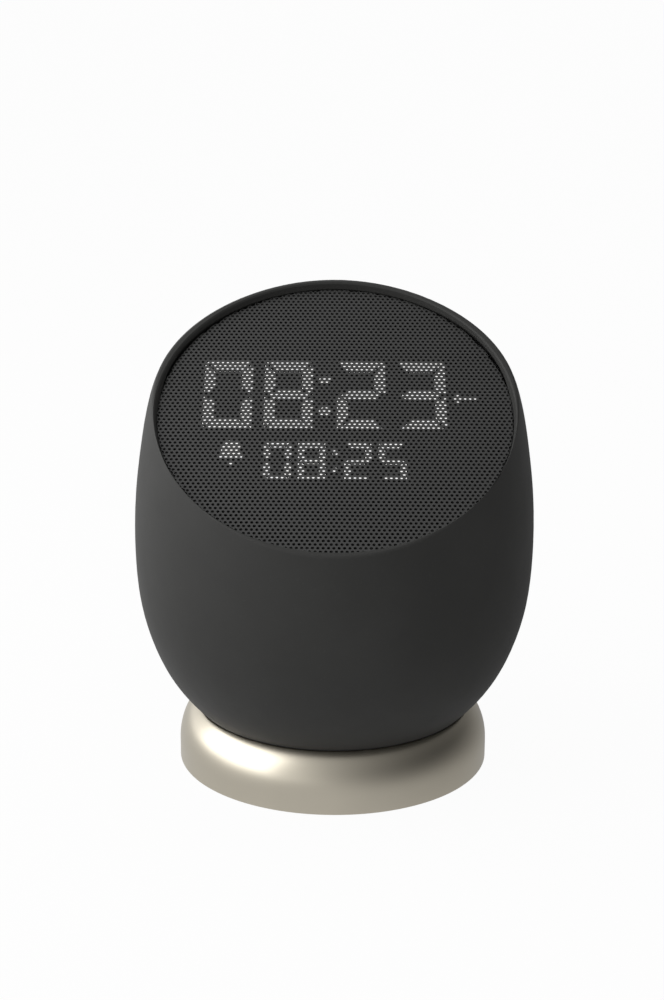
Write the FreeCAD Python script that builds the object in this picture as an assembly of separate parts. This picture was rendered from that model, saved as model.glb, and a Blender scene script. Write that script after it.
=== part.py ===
import FreeCAD, Part
import math
import os

# Bedside clock with a loudspeaker: an egg-shaped body whose slanted mouth holds a round perforated
# grille, with lit digits behind it, and which swivels on a low metal base.
# Millimetres. The origin is the centre of the base's underside, +Z is up, the face looks towards -Y.

# Clearances that the pieces share
cut_overrun = 1.0
slip_gap = 0.15
screw_clearance = 0.2
seat_gap = 0.3
soft_gap = 0.3

# Shares that tell a face's direction and an edge's level
same_way_share = 0.999
same_place_share = 0.1

# Egg-shaped body
egg_radius = 57.0
egg_height = 126.0
shell_wall = 2.6
egg_radius_shares = [0.456, 0.590, 0.688, 0.833, 0.926, 0.977, 0.997, 1.0, 0.988, 0.963, 0.928, 0.863, 0.760, 0.621, 0.440]
egg_height_shares = [0.0, 0.022, 0.057, 0.135, 0.224, 0.312, 0.402, 0.471, 0.579, 0.668, 0.757, 0.845, 0.912, 0.968, 1.022]

# Mouth of the body, a round opening on a slanted face
mouth_tilt = 33.3
mouth_setback = 12.3
mouth_drop = 29.9
mouth_margin = 7.7
mouth_flare = 0.5
lip_height = 2.2
lip_rounding = 0.9
lip_inner_rounding = 0.4

# Grille and the cloth behind it
grille_thickness = 0.5
cloth_thickness = 0.2

# Front frame, a shallow cup inside the mouth
frame_wall = 2.2
frame_depth = 14.0
frame_floor = 2.0
frame_screw_margin = 3.75
frame_screw_angles = [60.0, 120.0, 240.0, 300.0]
ribbon_slot_width = 9.0
ribbon_slot_height = 7.0
frame_boss_radius = 3.4
frame_boss_length = 10.0
boss_rib = 2.4
boss_reach = 20.0

# Display module
display_width = 82.0
display_height = 48.0
display_corner = 12.0
display_drop = 1.8
display_gap = 0.1
reflector_depth = 5.0
segment_depth = 3.0
display_board_thickness = 1.6
display_screw_x = 36.5
display_screw_high = 15.5
display_screw_low = -19.0
display_post_radius = 2.6
display_head_depth = 0.3
display_screw_grip = 3.0
led_length = 1.6
led_width = 0.8
led_height = 0.8
led_room_share = 0.7

# Digits: height, width, strokes lying and upright, and the gap between the segments
time_digit_height = 25.4
time_digit_width = 13.5
time_flat_stroke = 3.7
time_tall_stroke = 3.0
time_segment_gap = 0.9
time_row_y = 7.7
time_first_x = -29.9
time_digit_pitch = 16.85
time_colon_space = 3.4
time_dot_radius = 1.65
time_dot_rise = 5.9
alarm_digit_height = 13.8
alarm_digit_width = 7.5
alarm_flat_stroke = 2.0
alarm_tall_stroke = 1.75
alarm_segment_gap = 0.5
alarm_row_y = -16.35
alarm_first_x = -15.7
alarm_digit_pitch = 9.35
alarm_colon_space = 3.2
alarm_dot_radius = 0.85
alarm_dot_rise = 3.1
bell_x = -28.5
bell_y = -12.3
bell_width = 6.4
bell_height = 6.6
bell_foot = 1.2
clapper_radius_share = 0.6
clapper_drop_share = 2.0
mark_x = 36.0
mark_y = 6.9
mark_length = 6.4
mark_stroke = 1.2
mark_tick = 3.6

# Loudspeaker driver
driver_flange_radius = 28.0
driver_flange = 1.0
driver_gasket_thickness = 0.8
driver_screw_circle = 26.0
driver_screw_angles = [45.0, 135.0, 225.0, 315.0]
basket_top_radius = 23.6
basket_bottom_radius = 15.0
basket_depth = 14.0
basket_wall = 0.9
basket_window = 8.0
cone_radius = 18.2
cone_neck_drop = 8.3
cone_thickness = 0.5
roll_radius = 2.05
roll_thickness = 0.5
coil_radius = 7.2
coil_wall = 0.5
coil_length = 11.5
coil_air_gap = 0.4
cap_rise = 2.6
cap_thickness = 0.4
spider_thickness = 0.4
spider_wave = 0.6
spider_drop = 10.0
front_plate_radius = 16.0
front_plate_thickness = 3.0
magnet_radius = 17.0
magnet_bore_radius = 9.5
magnet_thickness = 8.0
yoke_thickness = 3.0
terminal_width = 6.0
terminal_thickness = 1.5
terminal_reach = 6.5
cone_stroke = 0.8

# Bottom cap, which closes the body
cap_height = 5.4
spigot_margin = 1.5
spigot_wall = 2.0
spigot_height = 2.5
cap_pad_radius = 3.4
cap_boss_height = 4.2
cap_screw_angles = [45.0, 135.0, 225.0, 315.0]
cap_counterbore = 3.4

# Swivel
hub_radius = 9.0
hub_running_gap = 0.08
hub_flange_radius = 13.0
hub_flange = 2.0
washer_radius = 13.0
washer_thickness = 1.2
washer_play = 0.2
pivot_head_radius = 4.6
pivot_head_height = 1.6
pivot_shank_radius = 2.5
pivot_shank_length = 6.0
glide_inner_radius = 15.0
glide_outer_radius = 24.0

# Base
base_side_height = 5.3
shoulder_reach = 10.1
shoulder_height = 13.4
rim_rise = 7.35
rim_width = 0.35
rim_rounding = 0.15
base_wall = 2.6
base_lift = 0.2
plate_thickness = 2.0
plate_gap = 0.6
base_screw_margin = 1.3
base_screw_angles = [0.0, 90.0, 180.0, 270.0]
base_boss_radius = 3.2
weight_width = 9.7
weight_height = 4.6
foot_height = 1.0
foot_groove = 0.6
foot_width = 5.0
foot_margin = 1.8

# Control panel in the back
panel_height = 68.0
panel_length = 52.0
panel_width = 15.0
panel_recess = 5.0
panel_floor = 2.0
panel_collar = 1.2
panel_inset = 0.4
panel_flange_width = 30.0
panel_flange_length = 41.0
panel_flange = 1.4
panel_screw_x = 12.2
panel_screw_rise = 15.0
panel_screw_grip = 2.4
panel_boss_radius = 2.6
key_pitch = 9.6
key_radius = 3.7
key_proud = 2.2
key_edge = 0.5
key_flange_radius = 4.5
key_flange = 0.8
key_stem_radius = 1.2
key_stem_length = 0.4
key_travel = 0.5
key_rest_gap = 0.05
switch_size = 4.5
switch_height = 2.0
switch_body_share = 0.7
plunger_radius = 0.9
key_board_width = 24.0
key_board_thickness = 1.6
key_post_x = 9.8
key_post_rise = 18.2
key_post_radius = 1.7
key_post_grip = 3.0
key_steps = [2, 1, 0, -1]
usb_step = -2
usb_width = 8.94
usb_height = 3.26
usb_wall = 0.35
usb_tongue_width = 6.6
usb_tongue_thickness = 0.7
usb_tongue_setback = 1.0

# Battery, its cradle and the tray over it
cell_radius = 9.2
cell_length = 65.0
cell_cap_radius = 3.0
cell_cap_height = 0.8
cell_spacing = 19.5
cradle_gap = 0.4
cradle_floor = 1.6
cradle_height = 11.0
cradle_end_wall = 1.8
cradle_side_wall = 1.1
ear_thickness = 2.4
ear_size = 8.8
pillar_x = 14.0
pillar_margin = 4.0
pillar_radius = 3.0
tray_inset = 1.0
tray_edge = 1.3
tray_thickness = 2.0
tray_corner = 6.0
contact_thickness = 0.5
contact_width = 9.0

# Main board
board_length = 66.0
board_width = 46.0
board_corner = 3.0
board_thickness = 1.6
board_lift = 4.0
board_post_radius = 2.5
board_screw_margin = 3.75

# Parts on the boards: length, width and height of each kind
chip_length = 12.0
chip_height = 1.4
small_chip_length = 7.0
coil_block_length = 6.5
coil_block_height = 4.0
can_radius = 3.2
can_height = 7.5
chip_place_shares = (0.05, -0.25)
small_chip_place_shares = [(0.45, -0.45), (-0.35, 0.60)]
coil_block_place_shares = [(-0.45, -0.55), (-0.45, -0.15)]
can_place_shares = [(0.75, -0.52), (0.75, -0.08)]
plug_length = 8.0
plug_width = 4.5
plug_height = 3.0

# Leads inside the body
lead_radius = 0.6
lead_spacing = 2.6
lead_bend = 4.0
battery_lead_reach = 3.4
ribbon_width = 6.0
ribbon_plug_y = 8.0
ribbon_thickness = 0.3
ribbon_bend = 5.0
ribbon_rise = 19.5

# Screws: shank radius, head radius and head height of each size
small_shank = 1.0
small_head = 1.9
small_head_height = 1.1
medium_shank = 1.25
medium_head = 2.4
medium_head_height = 1.5
long_shank = 1.5
long_head = 2.7
long_head_height = 1.6
recess_share = 0.55
recess_width_share = 0.18
recess_depth_share = 0.6

# Levels that follow from the sizes above, from the floor upwards
plate_low = foot_height
plate_top = plate_low + plate_thickness
pivot_head_low = plate_top + plate_gap
washer_low = pivot_head_low + pivot_head_height
hub_end = washer_low + washer_thickness
dish_bottom = hub_end + washer_play
dish_top = dish_bottom + base_wall
cap_bottom = dish_top + seat_gap
cap_floor_top = cap_bottom + shell_wall
cap_split = cap_bottom + cap_height
rim_height = cap_bottom + rim_rise
pad_top = cap_split + spigot_height
mouth_height = cap_bottom + egg_height - mouth_drop
cradle_low = pad_top + cap_boss_height + cradle_gap
cell_height = cradle_low + cradle_floor + slip_gap + cell_radius
ear_top = cradle_low + ear_thickness
tray_low = cell_height + cell_radius + soft_gap
tray_top = tray_low + tray_thickness
board_low = tray_top + board_lift
board_top = board_low + board_thickness

# Depths behind the grille's face, along the face's own axis
grille_back = -grille_thickness
display_front = grille_back - display_gap
reflector_back = display_front - reflector_depth
display_board_back = reflector_back - display_board_thickness
frame_back = -frame_depth
frame_floor_top = frame_back + frame_floor
flange_back = frame_floor_top + driver_gasket_thickness
flange_front = flange_back + driver_flange
basket_back = flange_back - basket_depth
plate_back = basket_back - front_plate_thickness
magnet_back = plate_back - magnet_thickness
mouth_radius = egg_radius - mouth_margin
frame_radius = mouth_radius - slip_gap
frame_inner_radius = frame_radius - frame_wall
frame_screw_circle = frame_inner_radius - frame_screw_margin
basket_mouth_radius = basket_top_radius - basket_wall

origin = FreeCAD.Vector(0, 0, 0)
axis_x = FreeCAD.Vector(1, 0, 0)
axis_y = FreeCAD.Vector(0, 1, 0)
axis_z = FreeCAD.Vector(0, 0, 1)
face_placement = FreeCAD.Placement(
    FreeCAD.Vector(0, -mouth_setback, mouth_height), FreeCAD.Rotation(axis_x, mouth_tilt)
)
panel_placement = FreeCAD.Placement(
    FreeCAD.Vector(0, 0, panel_height), FreeCAD.Rotation(-axis_x, axis_z, axis_y, "ZXY")
)


# Simple shapes

def disc(radius, low, high, x=0, y=0):
    """A round solid between two levels."""
    return Part.makeCylinder(radius, high - low, FreeCAD.Vector(x, y, low), axis_z)


def ring(outer, inner, low, high):
    """A flat ring between two levels."""
    return disc(outer, low, high).cut(disc(inner, low - cut_overrun, high + cut_overrun))


def block(length, width, low, high, x=0, y=0):
    """A box centred on x and y between two levels."""
    corner = FreeCAD.Vector(x - length / 2, y - width / 2, low)
    return Part.makeBox(length, width, high - low, corner)


def prism(points, low, high):
    """A solid with straight sides over an outline of (x, y) points."""
    wire = Part.makePolygon([FreeCAD.Vector(x, y, low) for x, y in points + points[:1]])
    return Part.Face(wire).extrude(FreeCAD.Vector(0, 0, high - low))


def rounded_block(length, width, corner, low, high, x=0, y=0):
    """A box with rounded upright edges."""
    long_part = block(length - 2 * corner, width, low, high, x, y)
    wide_part = block(length, width - 2 * corner, low, high, x, y)
    reach_x = length / 2 - corner
    reach_y = width / 2 - corner
    corners = [
        disc(corner, low, high, x + side * reach_x, y + end * reach_y)
        for side in (-1, 1)
        for end in (-1, 1)
    ]
    return long_part.fuse([wide_part] + corners).removeSplitter()


def spin(points):
    """A solid turned about the Z axis from an outline of (radius, level) points."""
    wire = Part.makePolygon([FreeCAD.Vector(r, 0, z) for r, z in points + points[:1]])
    return Part.Face(wire).revolve(origin, axis_z, 360)


def screw(shank, head, head_height, length, x=0, y=0, seat=0, up=1):
    """A pan-head screw whose head sits on a seat and points up or down."""
    head_part = disc(head, 0, head_height)
    slot_depth = head_height * recess_depth_share
    slot_length = 2 * head * recess_share
    slot_width = 2 * head * recess_width_share
    slot_low = head_height - slot_depth
    slots = [
        block(slot_length, slot_width, slot_low, head_height + cut_overrun),
        block(slot_width, slot_length, slot_low, head_height + cut_overrun),
    ]
    solid = head_part.cut(slots).fuse(disc(shank, -length, 0))
    turn = FreeCAD.Rotation(axis_x, 0 if up > 0 else 180)
    solid.Placement = FreeCAD.Placement(FreeCAD.Vector(x, y, seat), turn)
    return solid


def on_circle(radius, angles):
    """Places on a circle as (x, y) pairs."""
    turns = [math.radians(angle) for angle in angles]
    return [(radius * math.cos(turn), radius * math.sin(turn)) for turn in turns]


def on_face(shape):
    """Moves a shape from the face's own axes to the body's."""
    moved = shape.copy()
    moved.Placement = face_placement.multiply(moved.Placement)
    return moved


def on_panel(shape):
    """Moves a shape from the back panel's own axes to the body's."""
    moved = shape.copy()
    moved.Placement = panel_placement.multiply(moved.Placement)
    return moved


def group(shapes):
    """Several solids in one node."""
    return Part.makeCompound(shapes)


# The egg that shell, cap and base seat share

def egg_points():
    """The outline's points as radius and level."""
    pairs = zip(egg_radius_shares, egg_height_shares)
    return [FreeCAD.Vector(egg_radius * r, 0, cap_bottom + egg_height * z) for r, z in pairs]


def egg_radius_at(level):
    """The egg's outer radius at a level."""
    outline = Part.BSplineCurve()
    outline.interpolate(egg_points())
    start = FreeCAD.Vector(0, 0, level)
    reach = Part.makeLine(start, start + axis_x * 2 * egg_radius)
    return reach.distToShape(outline.toShape())[1][0][0].x


def egg_solid(inset):
    """The egg with its surface moved inwards, or outwards where inset is negative."""
    outline = Part.BSplineCurve()
    outline.interpolate(egg_points())
    moved = []
    for point in egg_points():
        along = outline.tangent(outline.parameter(point))[0]
        inward = FreeCAD.Vector(-along.z, 0, along.x)
        moved.append(point + inward * inset)
    moved[0].z = cap_bottom + inset
    side = Part.BSplineCurve()
    side.interpolate(moved)
    low, high = moved[0], moved[-1]
    floor_line = Part.makeLine(FreeCAD.Vector(0, 0, low.z), low)
    roof_line = Part.makeLine(high, FreeCAD.Vector(0, 0, high.z))
    axis_line = Part.makeLine(FreeCAD.Vector(0, 0, high.z), FreeCAD.Vector(0, 0, low.z))
    wire = Part.Wire([floor_line, side.toShape(), roof_line, axis_line])
    return Part.Face(wire).revolve(origin, axis_z, 360)


def boss_with_rib(radius, low, high, x, y):
    """An upright boss with a rib that runs outwards from it to the shell's wall."""
    turn = math.degrees(math.atan2(y, x))
    rib = block(boss_reach, boss_rib, low, high, boss_reach / 2)
    rib.Placement = FreeCAD.Placement(FreeCAD.Vector(x, y, 0), FreeCAD.Rotation(axis_z, turn))
    return disc(radius, low, high, x, y).fuse(rib)


# Body shell

def shell_blank():
    """The egg cut along its slanted face, with the lip's outer edge rounded."""
    span = 2 * egg_height
    above = on_face(block(span, span, lip_height, lip_height + span))
    below = block(span, span, cap_bottom - cut_overrun, cap_split)
    blank = egg_solid(0).cut([above])
    face_normal = face_placement.Rotation.multVec(axis_z)
    tops = [face for face in blank.Faces if face.normalAt(0, 0).dot(face_normal) > same_way_share]
    top = max(tops, key=lambda face: face.Area)
    rounded = blank.makeFillet(lip_rounding, top.Edges)
    return rounded.cut(below)


def mouth_tool():
    """What is taken out of the blank to make the mouth, straight below and flared at the lip."""
    rounding = lip_inner_rounding
    flare_radius = mouth_radius + mouth_flare
    return spin([
        (0, frame_back - cut_overrun),
        (mouth_radius, frame_back - cut_overrun),
        (mouth_radius, 0),
        (flare_radius, lip_height - rounding),
        (flare_radius + rounding, lip_height),
        (flare_radius + rounding, lip_height + cut_overrun),
        (0, lip_height + cut_overrun),
    ])


def panel_outline(width, length, low, high):
    """An upright capsule in the back panel's own axes."""
    straight = length - width
    ends = [disc(width / 2, low, high, 0, side * straight / 2) for side in (-1, 1)]
    return block(width, straight, low, high).fuse(ends).removeSplitter()


def outer_shell():
    """The soft-touch body with its inner bosses."""
    wall_limit = egg_solid(shell_wall / 2)
    shell = shell_blank().cut([egg_solid(shell_wall), on_face(mouth_tool())])
    frame_spots = on_circle(frame_screw_circle, frame_screw_angles)
    boss_low = frame_back - frame_boss_length
    front = [on_face(boss_with_rib(frame_boss_radius, boss_low, frame_back, x, y)) for x, y in frame_spots]
    cap_spots = on_circle(cap_screw_circle, cap_screw_angles)
    boss_top = pad_top + cap_boss_height
    bottom = [boss_with_rib(cap_pad_radius, pad_top, boss_top, x, y) for x, y in cap_spots]
    back = [on_panel(disc(panel_boss_radius, flange_face, egg_radius, x, y)) for x, y in panel_screw_spots]
    bosses = [boss.common(wall_limit) for boss in front + bottom + back]
    shell = shell.fuse(bosses)
    front_holes = [on_face(disc(medium_shank, boss_low - cut_overrun, frame_back + cut_overrun, x, y))
                   for x, y in frame_spots]
    bottom_holes = [disc(medium_shank, pad_top - cut_overrun, boss_top + cut_overrun, x, y)
                    for x, y in cap_spots]
    back_holes = [on_panel(disc(small_shank, flange_face - cut_overrun, flange_face + panel_screw_grip, x, y))
                  for x, y in panel_screw_spots]
    bore = disc(spigot_radius + slip_gap, cap_split - cut_overrun, pad_top)
    pocket = on_panel(block(panel_flange_width + 2 * slip_gap, panel_length + 2 * slip_gap, key_board_back, flange_face))
    panel_hole = on_panel(panel_outline(panel_width + 2 * slip_gap, panel_length + 2 * slip_gap,
                                        panel_flange_back, egg_radius + cut_overrun))
    return shell.cut(front_holes + bottom_holes + back_holes + [bore, panel_hole, pocket])


# Grille, cloth and front frame

def speaker_grille():
    """The round metal sheet in the mouth; its perforations are too fine for this model."""
    return on_face(disc(frame_radius, grille_back, 0))


def display_outline(margin, low, high):
    """The display module's rounded outline, grown by a margin."""
    length = display_width + 2 * margin
    width = display_height + 2 * margin
    return rounded_block(length, width, display_corner + margin, low, high, 0, -display_drop)


def dust_cloth():
    """Thin cloth behind the grille, open round the display."""
    low = grille_back - cloth_thickness
    sheet = disc(frame_inner_radius - soft_gap, low, grille_back)
    return on_face(sheet.cut(display_outline(soft_gap, low - cut_overrun, grille_back + cut_overrun)))


def front_frame():
    """The cup that carries grille, display and driver."""
    rim = ring(frame_radius, frame_inner_radius, frame_back, grille_back)
    floor = ring(frame_radius - frame_wall / 2, basket_top_radius + soft_gap, frame_back, frame_floor_top)
    posts = [disc(display_post_radius, frame_floor_top, display_board_back, x, y) for x, y in display_screw_spots]
    cup = rim.fuse([floor] + posts)
    pilots = [disc(small_shank, frame_back - cut_overrun, display_board_back + cut_overrun, x, y)
              for x, y in display_screw_spots]
    clears = [disc(medium_shank + screw_clearance, frame_back - cut_overrun, frame_floor_top + cut_overrun, x, y)
              for x, y in on_circle(frame_screw_circle, frame_screw_angles)]
    driver_pilots = [disc(small_shank, frame_back - cut_overrun, frame_floor_top + cut_overrun, x, y)
                     for x, y in driver_screw_spots]
    slot = block(ribbon_slot_width, ribbon_slot_height, frame_back - cut_overrun, frame_floor_top + cut_overrun,
                 ribbon_x, 0)
    return on_face(cup.cut(pilots + clears + driver_pilots + [slot]))


def frame_screws():
    """Screws that hold the frame to the shell's bosses."""
    length = frame_floor + frame_boss_length / 2
    spots = on_circle(frame_screw_circle, frame_screw_angles)
    return group([on_face(screw(medium_shank, medium_head, medium_head_height, length, x, y, frame_floor_top))
                  for x, y in spots])


# Display module

def bar(length, stroke, low, high, x, y, upright):
    """One display segment with pointed ends."""
    tip = stroke / 2
    reach = length / 2
    along = [(-reach, 0), (tip - reach, -tip), (reach - tip, -tip), (reach, 0), (reach - tip, tip), (tip - reach, tip)]
    points = [(x - v, y + u) if upright else (x + u, y + v) for u, v in along]
    return prism(points, low, high)


def digit(height, width, flat, tall, gap, x, y, low, high):
    """The seven segments of one digit, with mitred ends."""
    half_width, half_height, slip = width / 2, height / 2, gap / 2
    inner_width, inner_height, middle = half_width - tall, half_height - flat, flat / 2
    end_bar = [
        (slip - inner_width, inner_height), (inner_width - slip, inner_height),
        (half_width - slip, half_height), (slip - half_width, half_height),
    ]
    side_bar = [
        (inner_width, middle + slip), (half_width, slip),
        (half_width, half_height - slip), (inner_width, inner_height - slip),
    ]
    middle_bar = [
        (gap - half_width, 0), (slip - inner_width, -middle), (inner_width - slip, -middle),
        (half_width - gap, 0), (inner_width - slip, middle), (slip - inner_width, middle),
    ]
    solids = [prism([(x + u, y + v) for u, v in middle_bar], low, high)]
    for half in (-1, 1):
        solids.append(prism([(x + u, y + half * v) for u, v in end_bar], low, high))
        for side in (-1, 1):
            solids.append(prism([(x + side * u, y + half * v) for u, v in side_bar], low, high))
    return solids


def digit_places(first, pitch, colon):
    """Centres of the four digits, with room for the colon after the second."""
    return [first + step * pitch + (colon if step > 1 else 0) for step in range(4)]


def digit_row(height, width, flat, tall, gap, places, y, dot, rise, low, high):
    """Four digits and the colon between them."""
    solids = []
    for x in places:
        solids += digit(height, width, flat, tall, gap, x, y, low, high)
    colon_x = (places[1] + places[2]) / 2
    solids += [disc(dot, low, high, colon_x, y + side * rise) for side in (-1, 1)]
    return solids


def time_row(low, high):
    """The large row, which shows the time."""
    places = digit_places(time_first_x, time_digit_pitch, time_colon_space)
    return digit_row(time_digit_height, time_digit_width, time_flat_stroke, time_tall_stroke, time_segment_gap,
                     places, time_row_y, time_dot_radius, time_dot_rise, low, high)


def alarm_row(low, high):
    """The small row, which shows the alarm."""
    places = digit_places(alarm_first_x, alarm_digit_pitch, alarm_colon_space)
    return digit_row(alarm_digit_height, alarm_digit_width, alarm_flat_stroke, alarm_tall_stroke,
                     alarm_segment_gap, places, alarm_row_y, alarm_dot_radius, alarm_dot_rise, low, high)


def icons(low, high):
    """The bell and the small mark beside the time."""
    dome_radius = bell_width / 2 - bell_foot / 2
    dome_y = bell_y + bell_height / 2 - dome_radius
    foot_y = bell_y - bell_height / 2 + bell_foot / 2
    dome = disc(dome_radius, low, high, bell_x, dome_y)
    skirt = block(2 * dome_radius, dome_y - foot_y, low, high, bell_x, (dome_y + foot_y) / 2)
    foot = block(bell_width, bell_foot, low, high, bell_x, foot_y)
    clapper_y = foot_y - bell_foot * clapper_drop_share
    clapper = disc(bell_foot * clapper_radius_share, low, high, bell_x, clapper_y)
    bell = dome.fuse([skirt, foot]).removeSplitter()
    mark_bar = block(mark_length, mark_stroke, low, high, mark_x, mark_y)
    tick = bar(mark_tick, mark_stroke, low, high, mark_x - mark_length / 4, mark_y, True)
    return [bell, clapper, mark_bar.fuse(tick).removeSplitter()]


def led_reflector():
    """The dark block whose pockets hold the segments."""
    body = display_outline(0, reflector_back, display_front)
    low = reflector_back - cut_overrun
    high = display_front + cut_overrun
    pockets = time_row(low, high) + alarm_row(low, high) + icons(low, high)
    head_seat = display_front - small_head_height - display_head_depth
    for x, y in display_screw_spots:
        pockets.append(disc(small_shank + screw_clearance, low, high, x, y))
        pockets.append(disc(small_head + screw_clearance, head_seat, high, x, y))
    return on_face(body.cut(pockets))


def time_segments():
    """Translucent filling of the large row's pockets."""
    return group([on_face(solid) for solid in time_row(display_front - segment_depth, display_front)])


def alarm_segments():
    """Translucent filling of the small row's pockets."""
    return group([on_face(solid) for solid in alarm_row(display_front - segment_depth, display_front)])


def display_icons():
    """Translucent filling of the bell and mark pockets."""
    return group([on_face(solid) for solid in icons(display_front - segment_depth, display_front)])


def display_leds():
    """One light-emitting chip under each segment."""
    high = reflector_back + led_height
    solids = []
    for pocket in time_row(reflector_back, high) + alarm_row(reflector_back, high) + icons(reflector_back, high):
        centre = pocket.BoundBox.Center
        upright = pocket.BoundBox.YLength > pocket.BoundBox.XLength
        length, width = (led_width, led_length) if upright else (led_length, led_width)
        length = min(length, pocket.BoundBox.XLength * led_room_share)
        width = min(width, pocket.BoundBox.YLength * led_room_share)
        solids.append(on_face(block(length, width, reflector_back, high, centre.x, centre.y)))
    return group(solids)


def display_board():
    """The circuit board behind the reflector."""
    board = display_outline(0, display_board_back, reflector_back)
    low = display_board_back - cut_overrun
    holes = [disc(small_shank + screw_clearance, low, reflector_back + cut_overrun, x, y)
             for x, y in display_screw_spots]
    socket_low = display_board_back - plug_height
    socket = block(plug_length, plug_width, socket_low, display_board_back, ribbon_x, 0)
    return on_face(board.cut(holes).fuse(socket))


def display_screws():
    """Screws that hold the display module to the frame's posts."""
    seat = display_front - small_head_height - display_head_depth
    length = seat - display_board_back + display_screw_grip
    return group([on_face(screw(small_shank, small_head, small_head_height, length, x, y, seat))
                  for x, y in display_screw_spots])


# Loudspeaker driver

def driver_gasket():
    """Foam ring under the driver's flange."""
    gasket = ring(driver_flange_radius, basket_top_radius + soft_gap, frame_floor_top, flange_back)
    holes = [disc(small_shank + screw_clearance, frame_floor_top - cut_overrun, flange_back + cut_overrun, x, y)
             for x, y in driver_screw_spots]
    return on_face(gasket.cut(holes))


def driver_basket():
    """Pressed frame of the driver, with windows in its sides and the terminal tab."""
    top, bottom, wall = basket_top_radius, basket_bottom_radius, basket_wall
    outside = spin([(0, basket_back), (bottom, basket_back), (top, flange_back), (top, flange_front), (0, flange_front)])
    inside = spin([
        (0, basket_back + wall), (bottom - wall, basket_back + wall), (top - wall, flange_back),
        (top - wall, flange_front + cut_overrun), (0, flange_front + cut_overrun),
    ])
    flange = disc(driver_flange_radius, flange_back, flange_front)
    reach = 2 * driver_flange_radius
    middle = (basket_back + flange_back) / 2
    windows = [block(reach, basket_window, middle - basket_depth / 4, middle + basket_depth / 4),
               block(basket_window, reach, middle - basket_depth / 4, middle + basket_depth / 4)]
    neck = disc(coil_radius + coil_air_gap + soft_gap, basket_back - cut_overrun, basket_back + wall + cut_overrun)
    tab_x = -(basket_bottom_radius + terminal_reach / 2)
    tab = block(terminal_reach + 2 * wall, terminal_width, basket_back, basket_back + terminal_thickness, tab_x)
    holes = [disc(small_shank + screw_clearance, flange_back - cut_overrun, flange_front + cut_overrun, x, y)
             for x, y in driver_screw_spots]
    body = outside.fuse(flange).cut([inside] + windows)
    tab = tab.cut(disc(basket_bottom_radius - wall, basket_back - cut_overrun, flange_front))
    return on_face(body.fuse(tab).cut([neck] + holes))


def driver_surround():
    """Rubber half roll between the flange and the cone."""
    middle = basket_mouth_radius - roll_radius + roll_thickness
    outer_roll = Part.makeTorus(middle, roll_radius).cut(disc(driver_flange_radius, -2 * roll_radius, 0))
    inner_roll = Part.makeTorus(middle, roll_radius - roll_thickness)
    roll = outer_roll.cut(inner_roll)
    roll.translate(FreeCAD.Vector(0, 0, flange_front))
    land = ring(driver_screw_circle - small_head - soft_gap, middle + roll_radius - roll_thickness, flange_front,
                flange_front + roll_thickness)
    return on_face(roll.fuse(land))


def driver_cone():
    """Paper cone from the surround to the coil."""
    rim, neck = surround_inner_radius - soft_gap, coil_radius
    top = flange_front + cone_thickness
    bottom = flange_front - cone_neck_drop
    outline = [(rim, top), (rim, top - cone_thickness), (neck, bottom), (neck, bottom + cone_thickness)]
    return on_face(spin(outline))


def voice_coil():
    """The coil on its former, which moves in the magnet's gap."""
    top = flange_front - cone_neck_drop + cone_thickness
    return on_face(ring(coil_radius, coil_radius - coil_wall, top - coil_length, top))


def dust_cap():
    """Shallow dome over the coil."""
    base = flange_front - cone_neck_drop + cone_thickness
    ball_radius = (coil_radius ** 2 + cap_rise ** 2) / (2 * cap_rise)
    centre = FreeCAD.Vector(0, 0, base + cap_rise - ball_radius)
    dome = Part.makeSphere(ball_radius, centre).cut(Part.makeSphere(ball_radius - cap_thickness, centre))
    keep = disc(coil_radius, base, base + cap_rise + cut_overrun)
    return on_face(dome.common(keep))


def driver_spider():
    """Ridged ring that centres the coil."""
    level = flange_front - spider_drop
    slope = (basket_top_radius - basket_bottom_radius) / (basket_depth - basket_wall)
    drop = flange_back - level + spider_thickness
    outer = basket_mouth_radius - drop * slope - soft_gap
    inner = coil_radius + soft_gap
    steps = 8
    upper = [(inner + (outer - inner) * step / steps, level + (step % 2) * spider_wave) for step in range(steps + 1)]
    lower = [(r, z - spider_thickness) for r, z in reversed(upper)]
    return on_face(spin(upper + lower))


def front_plate():
    """Steel ring on the magnet."""
    return on_face(ring(front_plate_radius, coil_radius + coil_air_gap, plate_back, basket_back))


def driver_magnet():
    """Ring magnet."""
    return on_face(ring(magnet_radius, magnet_bore_radius, magnet_back, plate_back))


def driver_yoke():
    """Back plate with the pole inside the coil."""
    back = disc(front_plate_radius, magnet_back - yoke_thickness, magnet_back)
    pole = disc(coil_radius - coil_wall - coil_air_gap, magnet_back, basket_back)
    return on_face(back.fuse(pole))


def driver_screws():
    """Screws through the driver's flange."""
    length = driver_flange + driver_gasket_thickness + frame_floor
    return group([on_face(screw(small_shank, small_head, small_head_height, length, x, y, flange_front))
                  for x, y in driver_screw_spots])


# Control panel, keys and socket

def key_station(step):
    """Height of a key or the socket from the panel's centre."""
    return step * key_pitch


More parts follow.
